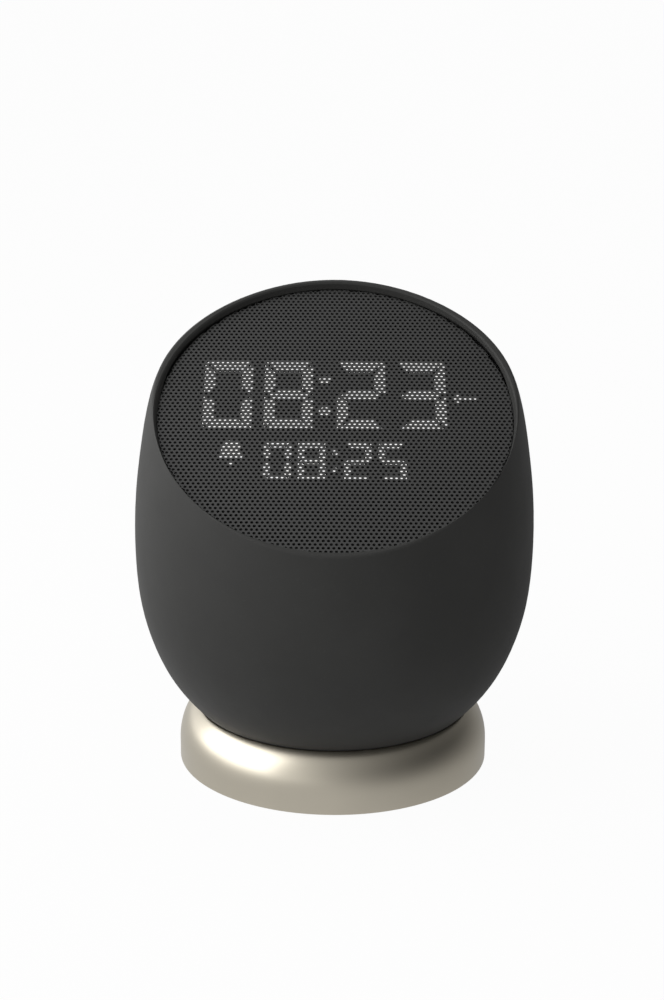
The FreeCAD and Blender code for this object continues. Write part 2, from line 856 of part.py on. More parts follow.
def rear_panel():
    """Recessed panel with a collar, a flange behind it and posts for its board."""
    collar = on_panel(panel_outline(panel_width, panel_length, panel_flange_back, egg_radius))
    collar = collar.common(egg_solid(panel_inset))
    inner_width = panel_width - 2 * panel_collar
    inner_length = panel_length - 2 * panel_collar
    recess = on_panel(panel_outline(inner_width, inner_length, panel_front, egg_radius + cut_overrun))
    hollow = on_panel(panel_outline(inner_width, inner_length, panel_flange_back - cut_overrun, floor_back))
    flange = block(panel_flange_width, panel_flange_length, panel_flange_back, flange_face)
    posts = [disc(key_post_radius, key_board_front, flange_face, x, y) for x, y in key_post_spots]
    panel = collar.cut(recess).fuse([on_panel(flange)] + [on_panel(post) for post in posts])
    holes = [disc(key_radius + slip_gap, floor_back - cut_overrun, panel_front + cut_overrun, 0, key_station(step))
             for step in key_steps]
    holes.append(rounded_block(usb_width + 2 * slip_gap, usb_height + 2 * slip_gap, usb_height / 2,
                               floor_back - cut_overrun, panel_front + cut_overrun, 0, key_station(usb_step)))
    holes += [disc(small_shank + screw_clearance, panel_flange_back - cut_overrun, flange_face + cut_overrun, x, y)
              for x, y in panel_screw_spots]
    holes += [disc(small_shank, key_board_front - cut_overrun, flange_face, x, y) for x, y in key_post_spots]
    return panel.cut([hollow] + [on_panel(hole) for hole in holes])


def panel_key(step):
    """One round key with its flange and stem."""
    level = key_station(step)
    cap = disc(key_radius, key_flange_back, panel_front + key_proud, 0, level)
    edges = [edge for edge in cap.Edges if edge.BoundBox.ZMin > panel_front]
    cap = cap.makeFillet(key_edge, edges)
    flange = disc(key_flange_radius, key_flange_back, floor_back, 0, level)
    stem = disc(key_stem_radius, stem_end, key_flange_back, 0, level)
    return on_panel(cap.fuse([flange, stem]))


def key_board():
    """Circuit board behind the keys."""
    low = key_board_back
    board = block(key_board_width, panel_length, low, key_board_front)
    holes = [disc(small_shank + screw_clearance, low - cut_overrun, key_board_front + cut_overrun, x, y)
             for x, y in key_post_spots]
    socket = block(plug_length, plug_width, low - plug_height, low, 0, key_ribbon_level - panel_height)
    return on_panel(board.cut(holes).fuse(socket))


def key_switches():
    """One switch with its plunger behind each key."""
    solids = []
    body_top = key_board_front + switch_height * switch_body_share
    for step in key_steps:
        level = key_station(step)
        body = block(switch_size, switch_size, key_board_front, body_top, 0, level)
        plunger = disc(plunger_radius, body_top, plunger_end, 0, level)
        solids.append(on_panel(body.fuse(plunger)))
    return group(solids)


def usb_socket():
    """Charging socket on the key board, flush with the panel."""
    level = key_station(usb_step)
    corner = usb_height / 2
    shell = rounded_block(usb_width, usb_height, corner - usb_wall / 2, key_board_front, panel_front, 0, level)
    inner_width = usb_width - 2 * usb_wall
    inner_height = usb_height - 2 * usb_wall
    hollow = rounded_block(inner_width, inner_height, inner_height / 2 - usb_wall / 2, key_board_front + usb_wall,
                           panel_front + cut_overrun, 0, level)
    tongue = block(usb_tongue_width, usb_tongue_thickness, key_board_front, panel_front - usb_tongue_setback, 0, level)
    return on_panel(shell.cut(hollow).fuse(tongue))


def panel_screws():
    """Screws from inside through the panel's flange."""
    length = panel_flange + panel_screw_grip
    return group([on_panel(screw(small_shank, small_head, small_head_height, length, x, y, panel_flange_back, -1))
                  for x, y in panel_screw_spots])


def key_board_screws():
    """Screws that hold the key board to the panel's posts."""
    length = key_board_thickness + key_post_grip
    return group([on_panel(screw(small_shank, small_head, small_head_height, length, x, y, key_board_back, -1))
                  for x, y in key_post_spots])


# Bottom cap and swivel

def bottom_cap():
    """Dished cap with spigot, screw pads, pillars and the hub's seat."""
    span = 2 * egg_radius
    cap = egg_solid(0).common(block(span, span, cap_bottom - cut_overrun, cap_split)).cut(egg_solid(shell_wall))
    spigot = ring(spigot_radius, spigot_radius - spigot_wall, cap_floor_top, pad_top - slip_gap)
    pads = [disc(cap_pad_radius, cap_floor_top, pad_top, x, y) for x, y in on_circle(cap_screw_circle, cap_screw_angles)]
    pillars = [disc(pillar_radius, cap_floor_top, cradle_low, x, y) for x, y in pillar_spots]
    cap = cap.fuse([spigot] + pads + pillars)
    low = cap_bottom - cut_overrun
    holes = [disc(hub_radius, low, cap_floor_top + cut_overrun)]
    for x, y in on_circle(cap_screw_circle, cap_screw_angles):
        holes.append(disc(medium_shank + screw_clearance, low, pad_top + cut_overrun, x, y))
        holes.append(disc(medium_head + screw_clearance, low, cap_bottom + cap_counterbore, x, y))
    holes += [disc(long_shank, cap_floor_top + screw_clearance, cradle_low + cut_overrun, x, y) for x, y in pillar_spots]
    return cap.cut(holes)


def cap_screws():
    """Screws from below that hold the cap to the shell."""
    seat = cap_bottom + cap_counterbore
    length = pad_top - seat + cap_boss_height
    return group([screw(medium_shank, medium_head, medium_head_height, length, x, y, seat, -1)
                  for x, y in on_circle(cap_screw_circle, cap_screw_angles)])


def swivel_hub():
    """Turned hub that hangs from the cap through the base's dish."""
    flange = disc(hub_flange_radius, cap_floor_top, cap_floor_top + hub_flange)
    shank = disc(hub_radius, hub_end, cap_floor_top)
    bore = disc(pivot_shank_radius, hub_end - cut_overrun, washer_low + pivot_shank_length)
    return flange.fuse(shank).cut(bore)


def pivot_washer():
    """Washer that keeps the hub in the dish."""
    return ring(washer_radius, pivot_shank_radius + screw_clearance, washer_low, hub_end)


def pivot_screw():
    """Screw that holds the washer to the hub."""
    return screw(pivot_shank_radius, pivot_head_radius, pivot_head_height, pivot_shank_length, 0, 0, washer_low, -1)


def glide_ring():
    """Slippery ring in the dish that carries the body."""
    return ring(glide_outer_radius, glide_inner_radius, dish_top, cap_bottom)


# Base

def base_blank(inset, low):
    """The base's outside, with an elliptical shoulder, moved inwards by an inset."""
    outer = base_radius - inset
    reach = shoulder_reach - inset
    rise = shoulder_height - inset
    centre = FreeCAD.Vector(outer - reach, 0, base_side_height)
    side_top = FreeCAD.Vector(outer, 0, base_side_height)
    crown = FreeCAD.Vector(outer - reach, 0, base_side_height + rise)
    if rise > reach:
        ellipse = Part.Ellipse(crown, side_top, centre)
    else:
        ellipse = Part.Ellipse(side_top, crown, centre)
    first, last = sorted([ellipse.parameter(side_top), ellipse.parameter(crown)])
    turn = last - first
    if turn > math.pi:
        first, last = last, first + 2 * math.pi
    shoulder = ellipse.toShape(first, last)
    bottom_edge = FreeCAD.Vector(outer, 0, low)
    lines = [
        Part.makeLine(FreeCAD.Vector(0, 0, low), bottom_edge),
        Part.makeLine(bottom_edge, side_top),
        Part.makeLine(crown, FreeCAD.Vector(0, 0, crown.z)),
        Part.makeLine(FreeCAD.Vector(0, 0, crown.z), FreeCAD.Vector(0, 0, low)),
    ]
    wire = Part.Wire(Part.sortEdges(lines + [shoulder])[0])
    return Part.Face(wire).revolve(origin, axis_z, 360)


def base_ring():
    """Metal base with a dish for the body, hollow underneath."""
    span = 2 * base_radius
    seat = egg_solid(-seat_gap)
    outside = base_blank(0, base_lift).cut([seat, block(span, span, rim_height, 2 * shoulder_height + rim_height)])
    hollow = base_blank(base_wall, base_lift - cut_overrun).cut(egg_solid(-seat_gap - base_wall))
    spots = on_circle(base_screw_circle, base_screw_angles)
    bosses = [disc(base_boss_radius, plate_top, dish_bottom + base_wall / 2, x, y) for x, y in spots]
    pilots = [disc(medium_shank, plate_top - cut_overrun, dish_bottom, x, y) for x, y in spots]
    ring_body = outside.cut(hollow).fuse(bosses)
    bore = disc(hub_radius + hub_running_gap, dish_bottom - cut_overrun, dish_top + cut_overrun)
    ring_body = ring_body.cut(pilots + [bore])
    rim_edges = [edge for edge in ring_body.Edges
                 if abs(edge.BoundBox.ZMin - rim_height) + abs(edge.BoundBox.ZMax - rim_height) < rim_rounding * same_place_share]
    return ring_body.makeFillet(rim_rounding, rim_edges)


def base_plate():
    """Plate that closes the base from below, with a groove for the foot."""
    plate = disc(base_radius - base_wall - slip_gap, plate_low, plate_top)
    groove = ring(foot_outer_radius, foot_inner_radius, plate_low - cut_overrun, plate_low + foot_groove)
    cuts = [groove]
    for x, y in on_circle(base_screw_circle, base_screw_angles):
        cuts.append(disc(medium_shank + screw_clearance, plate_low - cut_overrun, plate_top + cut_overrun, x, y))
        cuts.append(disc(medium_head + screw_clearance, plate_low - cut_overrun, base_screw_seat, x, y))
    return plate.cut(cuts)


def base_weight():
    """Steel ring inside the base that keeps the clock steady."""
    return ring(weight_outer_radius, weight_inner_radius, plate_top, plate_top + weight_height)


def foot_ring():
    """Soft ring that the clock stands on."""
    return ring(foot_outer_radius, foot_inner_radius, 0, plate_low + foot_groove)


def base_screws():
    """Screws that hold the plate to the base."""
    length = dish_bottom - base_screw_seat
    return group([screw(medium_shank, medium_head, medium_head_height, length, x, y, base_screw_seat, -1)
                  for x, y in on_circle(base_screw_circle, base_screw_angles)])


# Battery, tray and main board

def battery_cells():
    """Two round cells that lie side by side."""
    solids = []
    for side in (-1, 1):
        body_length = cell_length - cell_cap_height
        start = FreeCAD.Vector(-side * cell_length / 2, side * cell_spacing / 2, cell_height)
        body = Part.makeCylinder(cell_radius, body_length, start, axis_x * side)
        cap_start = start + axis_x * side * body_length
        cap = Part.makeCylinder(cell_cap_radius, cell_cap_height, cap_start, axis_x * side)
        solids.append(body.fuse(cap))
    return group(solids)


def battery_cradle():
    """Tray with a trough for each cell and ears for the long screws."""
    length = cell_room + 2 * cradle_end_wall
    cradle = block(length, cradle_width, cradle_low, cradle_low + cradle_height)
    ears = [block(ear_size, ear_size, cradle_low, ear_top, x, y) for x, y in pillar_spots]
    cradle = cradle.fuse(ears)
    start = -cell_room / 2
    troughs = [
        Part.makeCylinder(cell_radius + slip_gap, cell_room, FreeCAD.Vector(start, side * cell_spacing / 2, cell_height),
                          axis_x)
        for side in (-1, 1)
    ]
    middle = block(cell_room, cell_spacing, cell_height - cell_radius / 2, cell_height + cut_overrun)
    holes = [disc(long_shank + screw_clearance, cradle_low - cut_overrun, ear_top + cut_overrun, x, y)
             for x, y in pillar_spots]
    return cradle.cut(troughs + holes + [middle])


def battery_contacts():
    """Contact plates at the ends of the cells."""
    high = cell_height + cell_cap_radius
    low = cell_height - cell_radius / 2
    inner = cell_room / 2 - contact_thickness / 2
    joined = block(contact_thickness, cell_spacing + contact_width, low, high, inner)
    split = [block(contact_thickness, contact_width, low, high, -inner, side * cell_spacing / 2) for side in (-1, 1)]
    return group([joined] + split)


def board_tray():
    """Plate over the cells with legs below and posts above."""
    plate = rounded_block(tray_length, tray_width, tray_corner, tray_low, tray_top)
    legs = [disc(pillar_radius, ear_top, tray_low, x, y) for x, y in pillar_spots]
    posts = [disc(board_post_radius, tray_top, board_low, x, y) for x, y in board_screw_spots]
    tray = plate.fuse(legs + posts)
    holes = [disc(long_shank + screw_clearance, ear_top - cut_overrun, tray_top + cut_overrun, x, y)
             for x, y in pillar_spots]
    holes += [disc(medium_shank, tray_low - cut_overrun, board_low + cut_overrun, x, y) for x, y in board_screw_spots]
    return tray.cut(holes)


def long_screws():
    """Screws from the tray through the cradle into the cap's pillars."""
    length = tray_top - cap_floor_top - 2 * screw_clearance
    return group([screw(long_shank, long_head, long_head_height, length, x, y, tray_top) for x, y in pillar_spots])


def main_board():
    """Main circuit board."""
    board = rounded_block(board_length, board_width, board_corner, board_low, board_top)
    holes = [disc(medium_shank + screw_clearance, board_low - cut_overrun, board_top + cut_overrun, x, y)
             for x, y in board_screw_spots]
    return board.cut(holes)


def board_screws():
    """Screws that hold the main board."""
    length = board_thickness + board_lift
    return group([screw(medium_shank, medium_head, medium_head_height, length, x, y, board_top)
                  for x, y in board_screw_spots])


def on_board(shares):
    """A place on the main board, from shares of its half length and half width."""
    return shares[0] * board_length / 2, shares[1] * board_width / 2


def board_chips():
    """Amplifier, processor, sound memory, filter coils and capacitors."""
    low = board_top
    solids = [block(chip_length, chip_length, low, low + chip_height, *on_board(chip_place_shares))]
    for shares in small_chip_place_shares:
        solids.append(block(small_chip_length, small_chip_length, low, low + chip_height, *on_board(shares)))
    for shares in coil_block_place_shares:
        solids.append(block(coil_block_length, coil_block_length, low, low + coil_block_height, *on_board(shares)))
    for shares in can_place_shares:
        solids.append(disc(can_radius, low, low + can_height, *on_board(shares)))
    return group(solids)


def board_plugs():
    """Sockets on the main board for the four leads."""
    high = board_top + plug_height
    return group([
        block(plug_length, plug_width, board_top, high, ribbon_x - plug_length / 4, ribbon_plug_y),
        block(plug_length, plug_width, board_top, high, driver_lead_x, ribbon_plug_y),
        block(plug_width, plug_length, board_top, high, battery_plug_x, 0),
        block(plug_length, plug_width, board_top, high, 0, key_plug_y),
    ])


# Leads: straight runs joined by arcs

def bent_path(points, bend):
    """A wire along points, each inner corner rounded by an arc."""
    edges = []
    start = points[0]
    for before, corner, after in zip(points, points[1:], points[2:]):
        inward = (before - corner).normalize()
        outward = (after - corner).normalize()
        half_angle = inward.getAngle(outward) / 2
        setback = bend / math.tan(half_angle)
        first = corner + inward * setback
        last = corner + outward * setback
        to_centre = (inward + outward).normalize()
        middle = corner + to_centre * (bend / math.sin(half_angle) - bend)
        edges.append(Part.makeLine(start, first))
        edges.append(Part.Arc(first, middle, last).toShape())
        start = last
    edges.append(Part.makeLine(start, points[-1]))
    return Part.Wire(edges)


def round_lead(points):
    """A round lead along points."""
    path = bent_path(points, lead_bend)
    section = Part.Wire(Part.makeCircle(lead_radius, points[0], (points[1] - points[0]).normalize()))
    return path.makePipeShell([section], True, False)


def ribbon(points):
    """A flat ribbon in an upright plane, as wide as its sockets let it be."""
    path = bent_path(points, ribbon_bend)
    edges = path.Edges
    solids = []
    half = axis_x * (ribbon_width / 2)
    for edge in edges:
        first, last = edge.Vertexes[0].Point, edge.Vertexes[-1].Point
        along = edge.tangentAt(edge.FirstParameter)
        side = along.cross(axis_x).normalize() * (ribbon_thickness / 2)
        corners = [first - half - side, first + half - side, first + half + side, first - half + side]
        face = Part.Face(Part.makePolygon(corners + corners[:1]))
        if edge.Curve.TypeId == "Part::GeomCircle":
            centre, turn_axis = edge.Curve.Center, edge.Curve.Axis
            swept = math.degrees(edge.LastParameter - edge.FirstParameter)
            solids.append(face.revolve(centre, turn_axis, swept))
        else:
            solids.append(face.extrude(last - first))
    return solids[0].fuse(solids[1:]).removeSplitter()


def face_point(x, along, depth):
    """A point given in the face's own axes."""
    return face_placement.multVec(FreeCAD.Vector(x, along, depth))


def display_ribbon():
    """From the display board down through the frame's slot to the main board."""
    start = face_point(ribbon_x, 0, display_board_back - plug_height)
    outward = face_placement.Rotation.multVec(axis_z)
    end = FreeCAD.Vector(ribbon_x, ribbon_plug_y, board_top + plug_height)
    reach = (end.y - start.y) / outward.y
    corner = start + outward * reach
    return ribbon([start, corner, end])


def key_ribbon():
    """From the key board forward and down to the main board."""
    start = FreeCAD.Vector(0, key_board_back - plug_height, key_ribbon_level)
    end = FreeCAD.Vector(0, key_plug_y, board_top + plug_height)
    corner = FreeCAD.Vector(0, end.y, start.z)
    return ribbon([start, corner, end])


def driver_leads():
    """Two leads from the driver's tab to the main board."""
    outward = face_placement.Rotation.multVec(axis_z)
    solids = []
    for side in (-1, 1):
        x = driver_lead_x + side * lead_spacing / 2
        start = face_point(x, 0, basket_back)
        end = FreeCAD.Vector(x, ribbon_plug_y, board_top + plug_height)
        reach = (end.y - start.y) / outward.y
        corner = start + outward * reach
        solids.append(round_lead([start, corner, end]))
    return group(solids)


def battery_leads():
    """Two leads from the cradle's end up to the main board."""
    wall_x = -(cell_room / 2 + cradle_end_wall)
    turn_x = wall_x - battery_lead_reach - lead_bend
    level = cradle_low + cradle_height / 2
    top = board_top + plug_height / 2
    plug_face = battery_plug_x - plug_width / 2
    solids = []
    for side in (-1, 1):
        y = side * lead_spacing / 2
        points = [(wall_x, level), (turn_x, level), (turn_x, top), (plug_face, top)]
        solids.append(round_lead([FreeCAD.Vector(x, y, z) for x, z in points]))
    return group(solids)


# Depths in the back panel's own axis, which points out of the back
panel_front = egg_radius_at(panel_height) - panel_recess
floor_back = panel_front - panel_floor
flange_face = floor_back
panel_flange_back = flange_face - panel_flange
key_flange_back = floor_back - key_flange
stem_end = key_flange_back - key_stem_length
plunger_end = stem_end - key_travel - key_rest_gap
key_board_front = plunger_end - switch_height
key_board_back = key_board_front - key_board_thickness

# Radii and places shared by several pieces
rim_share = (rim_height - base_side_height) / shoulder_height
rim_set_in = shoulder_reach * (1 - math.sqrt(1 - rim_share ** 2))
base_radius = egg_radius_at(rim_height) + seat_gap + rim_width + rim_set_in
foot_outer_radius = base_radius - base_wall - foot_margin
foot_inner_radius = foot_outer_radius - foot_width
weight_outer_radius = base_radius - base_wall - 2 * soft_gap
weight_inner_radius = weight_outer_radius - weight_width
base_screw_circle = weight_inner_radius - base_boss_radius - base_screw_margin
spigot_radius = egg_radius_at(cap_split) - shell_wall - spigot_margin
cap_screw_circle = spigot_radius - spigot_wall - cap_pad_radius
cradle_width = cell_spacing + 2 * (cell_radius + slip_gap + cradle_side_wall)
pillar_y = cradle_width / 2 + pillar_margin
tray_length = board_length - 2 * tray_inset
tray_width = 2 * (pillar_y + pillar_radius + tray_edge)
board_screw_x = board_length / 2 - board_screw_margin
board_screw_y = board_width / 2 - board_screw_margin
driver_screw_spots = on_circle(driver_screw_circle, driver_screw_angles)
display_screw_spots = [
    (display_screw_x, display_screw_high), (display_screw_x, display_screw_low), (-display_screw_x, display_screw_low),
]
panel_screw_spots = [(side * panel_screw_x, end * panel_screw_rise) for side in (-1, 1) for end in (-1, 1)]
key_post_spots = [(key_post_x, key_post_rise), (-key_post_x, -key_post_rise)]
pillar_spots = [(side * pillar_x, end * pillar_y) for side in (-1, 1) for end in (-1, 1)]
board_screw_spots = [(side * board_screw_x, end * board_screw_y) for side in (-1, 1) for end in (-1, 1)]
base_screw_seat = plate_low + medium_head_height
cell_room = cell_length + 2 * contact_thickness + 2 * slip_gap
surround_inner_radius = basket_mouth_radius + roll_thickness - 2 * roll_radius
ribbon_x = driver_flange_radius + soft_gap + ribbon_width / 2 + slip_gap
key_ribbon_level = board_top + plug_height + ribbon_rise
driver_lead_x = -(magnet_radius + 2 * soft_gap + lead_radius + lead_spacing / 2)
battery_plug_x = -board_length / 2 + plug_width
key_plug_y = board_width / 2 - plug_width

pieces = {
    "outer_shell": outer_shell,
    "speaker_grille": speaker_grille,
    "dust_cloth": dust_cloth,
    "front_frame": front_frame,
    "frame_screws": frame_screws,
    "led_reflector": led_reflector,
    "time_segments": time_segments,
    "alarm_segments": alarm_segments,
    "display_icons": display_icons,
    "display_leds": display_leds,
    "display_board": display_board,
    "display_screws": display_screws,
    "driver_gasket": driver_gasket,
    "driver_basket": driver_basket,
    "driver_surround": driver_surround,
    "driver_cone": driver_cone,
    "voice_coil": voice_coil,
    "dust_cap": dust_cap,
    "driver_spider": driver_spider,
    "front_plate": front_plate,
    "driver_magnet": driver_magnet,
    "driver_yoke": driver_yoke,
    "driver_screws": driver_screws,
    "rear_panel": rear_panel,
    "alarm_key": lambda: panel_key(key_steps[0]),
    "volume_up_key": lambda: panel_key(key_steps[1]),
    "volume_down_key": lambda: panel_key(key_steps[2]),
    "voice_key": lambda: panel_key(key_steps[3]),
    "key_board": key_board,
    "key_switches": key_switches,
    "usb_socket": usb_socket,
    "panel_screws": panel_screws,
    "key_board_screws": key_board_screws,
    "bottom_cap": bottom_cap,
    "cap_screws": cap_screws,
    "swivel_hub": swivel_hub,
    "pivot_washer": pivot_washer,
    "pivot_screw": pivot_screw,
    "glide_ring": glide_ring,
    "base_ring": base_ring,
    "base_plate": base_plate,
    "base_weight": base_weight,
    "foot_ring": foot_ring,
    "base_screws": base_screws,
    "battery_cells": battery_cells,
    "battery_cradle": battery_cradle,
    "battery_contacts": battery_contacts,
    "board_tray": board_tray,
    "long_screws": long_screws,
    "main_board": main_board,
    "board_screws": board_screws,
    "board_chips": board_chips,
    "board_plugs": board_plugs,
    "display_ribbon": display_ribbon,
    "key_ribbon": key_ribbon,
    "driver_leads": driver_leads,
    "battery_leads": battery_leads,
}

os.makedirs("parts", exist_ok=True)
for name, make in pieces.items():
    shape = make()
    shape.exportStep(f"parts/{name}.step")
    print(name, "valid" if shape.isValid() else "INVALID", len(shape.Solids), round(shape.Volume, 1))
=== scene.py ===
import logging
import math
from dataclasses import dataclass
from enum import Enum
from typing import Any, Callable, ClassVar, Sequence

import bmesh
import bpy
from mathutils import Matrix, Vector
from mathutils.bvhtree import BVHTree


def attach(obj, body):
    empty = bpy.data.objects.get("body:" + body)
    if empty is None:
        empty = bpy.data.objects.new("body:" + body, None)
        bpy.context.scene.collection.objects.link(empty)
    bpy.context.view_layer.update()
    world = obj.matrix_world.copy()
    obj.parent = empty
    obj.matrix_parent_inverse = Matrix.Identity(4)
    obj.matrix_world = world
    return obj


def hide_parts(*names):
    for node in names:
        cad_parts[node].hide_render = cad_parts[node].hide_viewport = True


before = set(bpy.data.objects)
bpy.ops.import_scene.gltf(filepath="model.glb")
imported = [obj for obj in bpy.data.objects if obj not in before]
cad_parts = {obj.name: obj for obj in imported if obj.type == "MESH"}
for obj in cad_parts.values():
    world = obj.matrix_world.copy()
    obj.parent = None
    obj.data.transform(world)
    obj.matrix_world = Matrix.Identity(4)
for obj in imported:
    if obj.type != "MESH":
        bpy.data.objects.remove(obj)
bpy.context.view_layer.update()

log = logging.getLogger("bedside_clock")
MM = 0.001
FULL_TURN = 2 * math.pi
ROW_SHARE = math.sqrt(3) / 2  # Distance between staggered rows as a share of the pitch.
MERGE = 0.001 * MM  # Doubled corners of a CAD solid lie closer than this.
WELD = 0.01 * MM  # Corners that neighbouring cells share lie closer than this.
NOISE_ROUGHNESS = 0.55
WHITE = (1.0, 1.0, 1.0, 1.0)
SEGMENTS = {"0": "abcdef", "2": "abdeg", "3": "abcdg", "5": "acdfg", "8": "abcdefg"}
Triple = tuple[float, float, float]
Paint = tuple[float, float, float, float]
Outline = list[tuple[float, float]]
Ring = list[bmesh.types.BMVert]


def linear(colour: Triple) -> Paint:
    """Turns a screen's colour into the linear one that shaders take, with an alpha of 1."""
    return (*(c / 12.92 if c <= 0.04045 else ((c + 0.055) / 1.055) ** 2.4 for c in colour), 1.0)


def shade(paint: Paint, factor: float, lift: float = 0.0) -> Paint:
    """Multiplies a linear colour by a factor and adds a lift, with nothing above 1."""
    return (*(min(1.0, c * factor + lift) for c in paint[:3]), 1.0)


def math_node(operation: str, swapped: bool = False) -> Callable[..., "Value"]:
    """Makes a method of Value that adds one Math node.

    Args:
        operation: The node's operation.
        swapped: Whether the value itself comes last.

    Returns:
        The method.
    """
    def method(self: "Value", *others: Any) -> "Value":
        """Returns the node's result."""
        terms = (*others, self) if swapped else (self, *others)
        return self.tree.add("ShaderNodeMath", dict(enumerate(terms)), operation=operation)

    return method


class Value:
    """An output in a node tree that adds its own Math nodes when an expression uses it."""

    def __init__(self, tree: "NodeTree", socket: bpy.types.NodeSocket) -> None:
        """Keeps the tree and the socket that carries the value."""
        self.tree = tree
        self.socket = socket

    # Each of these adds the node that it names and returns its result.
    __add__ = __radd__ = math_node("ADD")
    __sub__ = math_node("SUBTRACT")
    __rsub__ = math_node("SUBTRACT", swapped=True)
    __mul__ = __rmul__ = math_node("MULTIPLY")
    __truediv__ = math_node("DIVIDE")
    __rtruediv__ = math_node("DIVIDE", swapped=True)
    __mod__ = math_node("FLOORED_MODULO")
    __pow__ = math_node("POWER")
    __round__ = math_node("ROUND")
    __abs__ = math_node("ABSOLUTE")
    __gt__ = math_node("GREATER_THAN")
    at_least = math_node("MAXIMUM")
    at_most = math_node("MINIMUM")
    past_whole = math_node("FRACT")
    sine = math_node("SINE")

    def wave(self) -> "Value":
        """Returns a sine wave from 0 to 1."""
        return self.sine() * 0.5 + 0.5

    def ramp(self, low: float, high: float) -> "Value":
        """Rises smoothly from 0 at the low value to 1 at the high one."""
        values = {"Value": self, "From Min": low, "From Max": high}
        return self.tree.add("ShaderNodeMapRange", values, "Result",
                             interpolation_type="SMOOTHSTEP")


def off_axis(x: Value, y: Value) -> Value:
    """Returns the distance from the Z axis."""
    return (x * x + y * y) ** 0.5


class NodeTree:
    """A node tree with short ways to add to it."""

    def __init__(self, tree: bpy.types.NodeTree) -> None:
        """Keeps the tree."""
        self.tree = tree

    def node(self, kind: str, values: dict[Any, Any] | None = None,
             **settings: Any) -> bpy.types.Node:
        """Adds any node.

        Args:
            kind: The node's type name.
            values: Values, numbers or colours by socket name or number.
            settings: The node's own settings.

        Returns:
            The new node.
        """
        made = self.tree.nodes.new(kind)
        for key, setting in settings.items():
            setattr(made, key, setting)
        for key, value in (values or {}).items():
            if isinstance(value, Value):
                self.tree.links.new(value.socket, made.inputs[key])
            else:
                made.inputs[key].default_value = value
        return made

    def add(self, kind: str, values: dict[Any, Any] | None = None, output: Any = 0,
            **settings: Any) -> Value:
        """Adds any node, as node does, and takes the output of that name or number."""
        return Value(self, self.node(kind, values, **settings).outputs[output])

    def vector(self, *parts: Any) -> Value:
        """Joins X, Y and Z."""
        return self.add("ShaderNodeCombineXYZ", dict(enumerate(parts)))

    def axes(self, vector: Value) -> tuple[Value, ...]:
        """Splits a vector into X, Y and Z."""
        split = self.node("ShaderNodeSeparateXYZ", {0: vector})
        return tuple(Value(self, part) for part in split.outputs)


class Graph(NodeTree):
    """The node tree of a material or of the world."""

    def __init__(self, owner: bpy.types.ID) -> None:
        """Empties the owner's tree.

        Args:
            owner: A new material or world.
        """
        owner.use_nodes = True
        super().__init__(owner.node_tree)
        self.owner = owner
        self.tree.nodes.clear()

    @classmethod
    def paint(cls, name: str) -> "Graph":
        """Returns the graph of a new material."""
        return cls(bpy.data.materials.new(name))

    def place(self) -> Value:
        """Returns the place on the object."""
        return self.add("ShaderNodeTexCoord", output="Object")

    def spot(self) -> tuple[Value, ...]:
        """Returns X, Y and Z on the object."""
        return self.axes(self.place())

    def ray(self, kind: str) -> Value:
        """Returns 1 for rays of one kind, else 0."""
        return self.add("ShaderNodeLightPath", output=f"Is {kind} Ray")

    def noise(self, scale: float, detail: float = 3.0, stretch: Triple = (1.0, 1.0, 1.0)) -> Value:
        """Soft noise over the object.

        Args:
            scale: Waves in a metre.
            detail: How many finer layers it has.
            stretch: How much finer it is along each axis.

        Returns:
            The noise, around 0.5.
        """
        mapped = self.add("ShaderNodeMapping", {"Vector": self.place(), "Scale": stretch})
        values = {"Vector": mapped, "Scale": scale, "Detail": detail, "Roughness": NOISE_ROUGHNESS}
        return self.add("ShaderNodeTexNoise", values, "Fac")

    def blend(self, amount: Value, first: Paint, second: Paint) -> Value:
        """Mixes two linear colours: the first where the amount is 0, the second where it is 1."""
        return self.add("ShaderNodeMix", {0: amount, 6: first, 7: second}, 2, data_type="RGBA")

    def relief(self, height: Value, depth: float) -> Value:
        """Turns a height into a normal, with the depth in metres that a height of 1 has."""
        return self.add("ShaderNodeBump", {"Height": height, "Distance": depth, "Strength": 1.0})


class NodeMaker(NodeTree):
    """A geometry node tree that makes one mesh."""

    def __init__(self, name: str, takes: dict[str, Any]) -> None:
        """Makes a tree with its inputs and its output.

        Args:
            name: The tree's name.
            takes: The inputs by name, each a float, an object or a material.
        """
        super().__init__(bpy.data.node_groups.new(name, "GeometryNodeTree"))
        self.takes = takes
        for item, value in takes.items():
            kind = f"NodeSocket{type(value).__name__.capitalize()}"
            self.tree.interface.new_socket(item, in_out="INPUT", socket_type=kind)
        self.tree.interface.new_socket("Mesh", in_out="OUTPUT", socket_type="NodeSocketGeometry")
        self.inputs = self.node("NodeGroupInput").outputs

    def given(self, name: str) -> Value:
        """Returns an input."""
        return Value(self, self.inputs[name])

    def spot(self) -> tuple[Value, ...]:
        """Returns X, Y and Z of each point."""
        return self.axes(self.add("GeometryNodeInputPosition"))

    def weld(self, mesh: Value) -> Value:
        """Joins the corners that lie on each other."""
        return self.add("GeometryNodeMergeByDistance", {"Geometry": mesh, "Distance": WELD})

    def run(self) -> bpy.types.Mesh:
        """Runs the tree on an empty object and keeps the result as a plain mesh.

        Returns:
            The mesh that the tree made.
        """
        host = bpy.data.objects.new("host", bpy.data.meshes.new("host"))
        bpy.context.scene.collection.objects.link(host)
        modifier = host.modifiers.new("make", "NODES")
        modifier.node_group = self.tree
        for item in self.tree.interface.items_tree:
            if item.in_out == "INPUT":
                modifier[item.identifier] = self.takes[item.name]
        graph = bpy.context.evaluated_depsgraph_get()
        mesh = bpy.data.meshes.new_from_object(host.evaluated_get(graph))
        host.modifiers.clear()
        bpy.data.objects.remove(host)
        return mesh


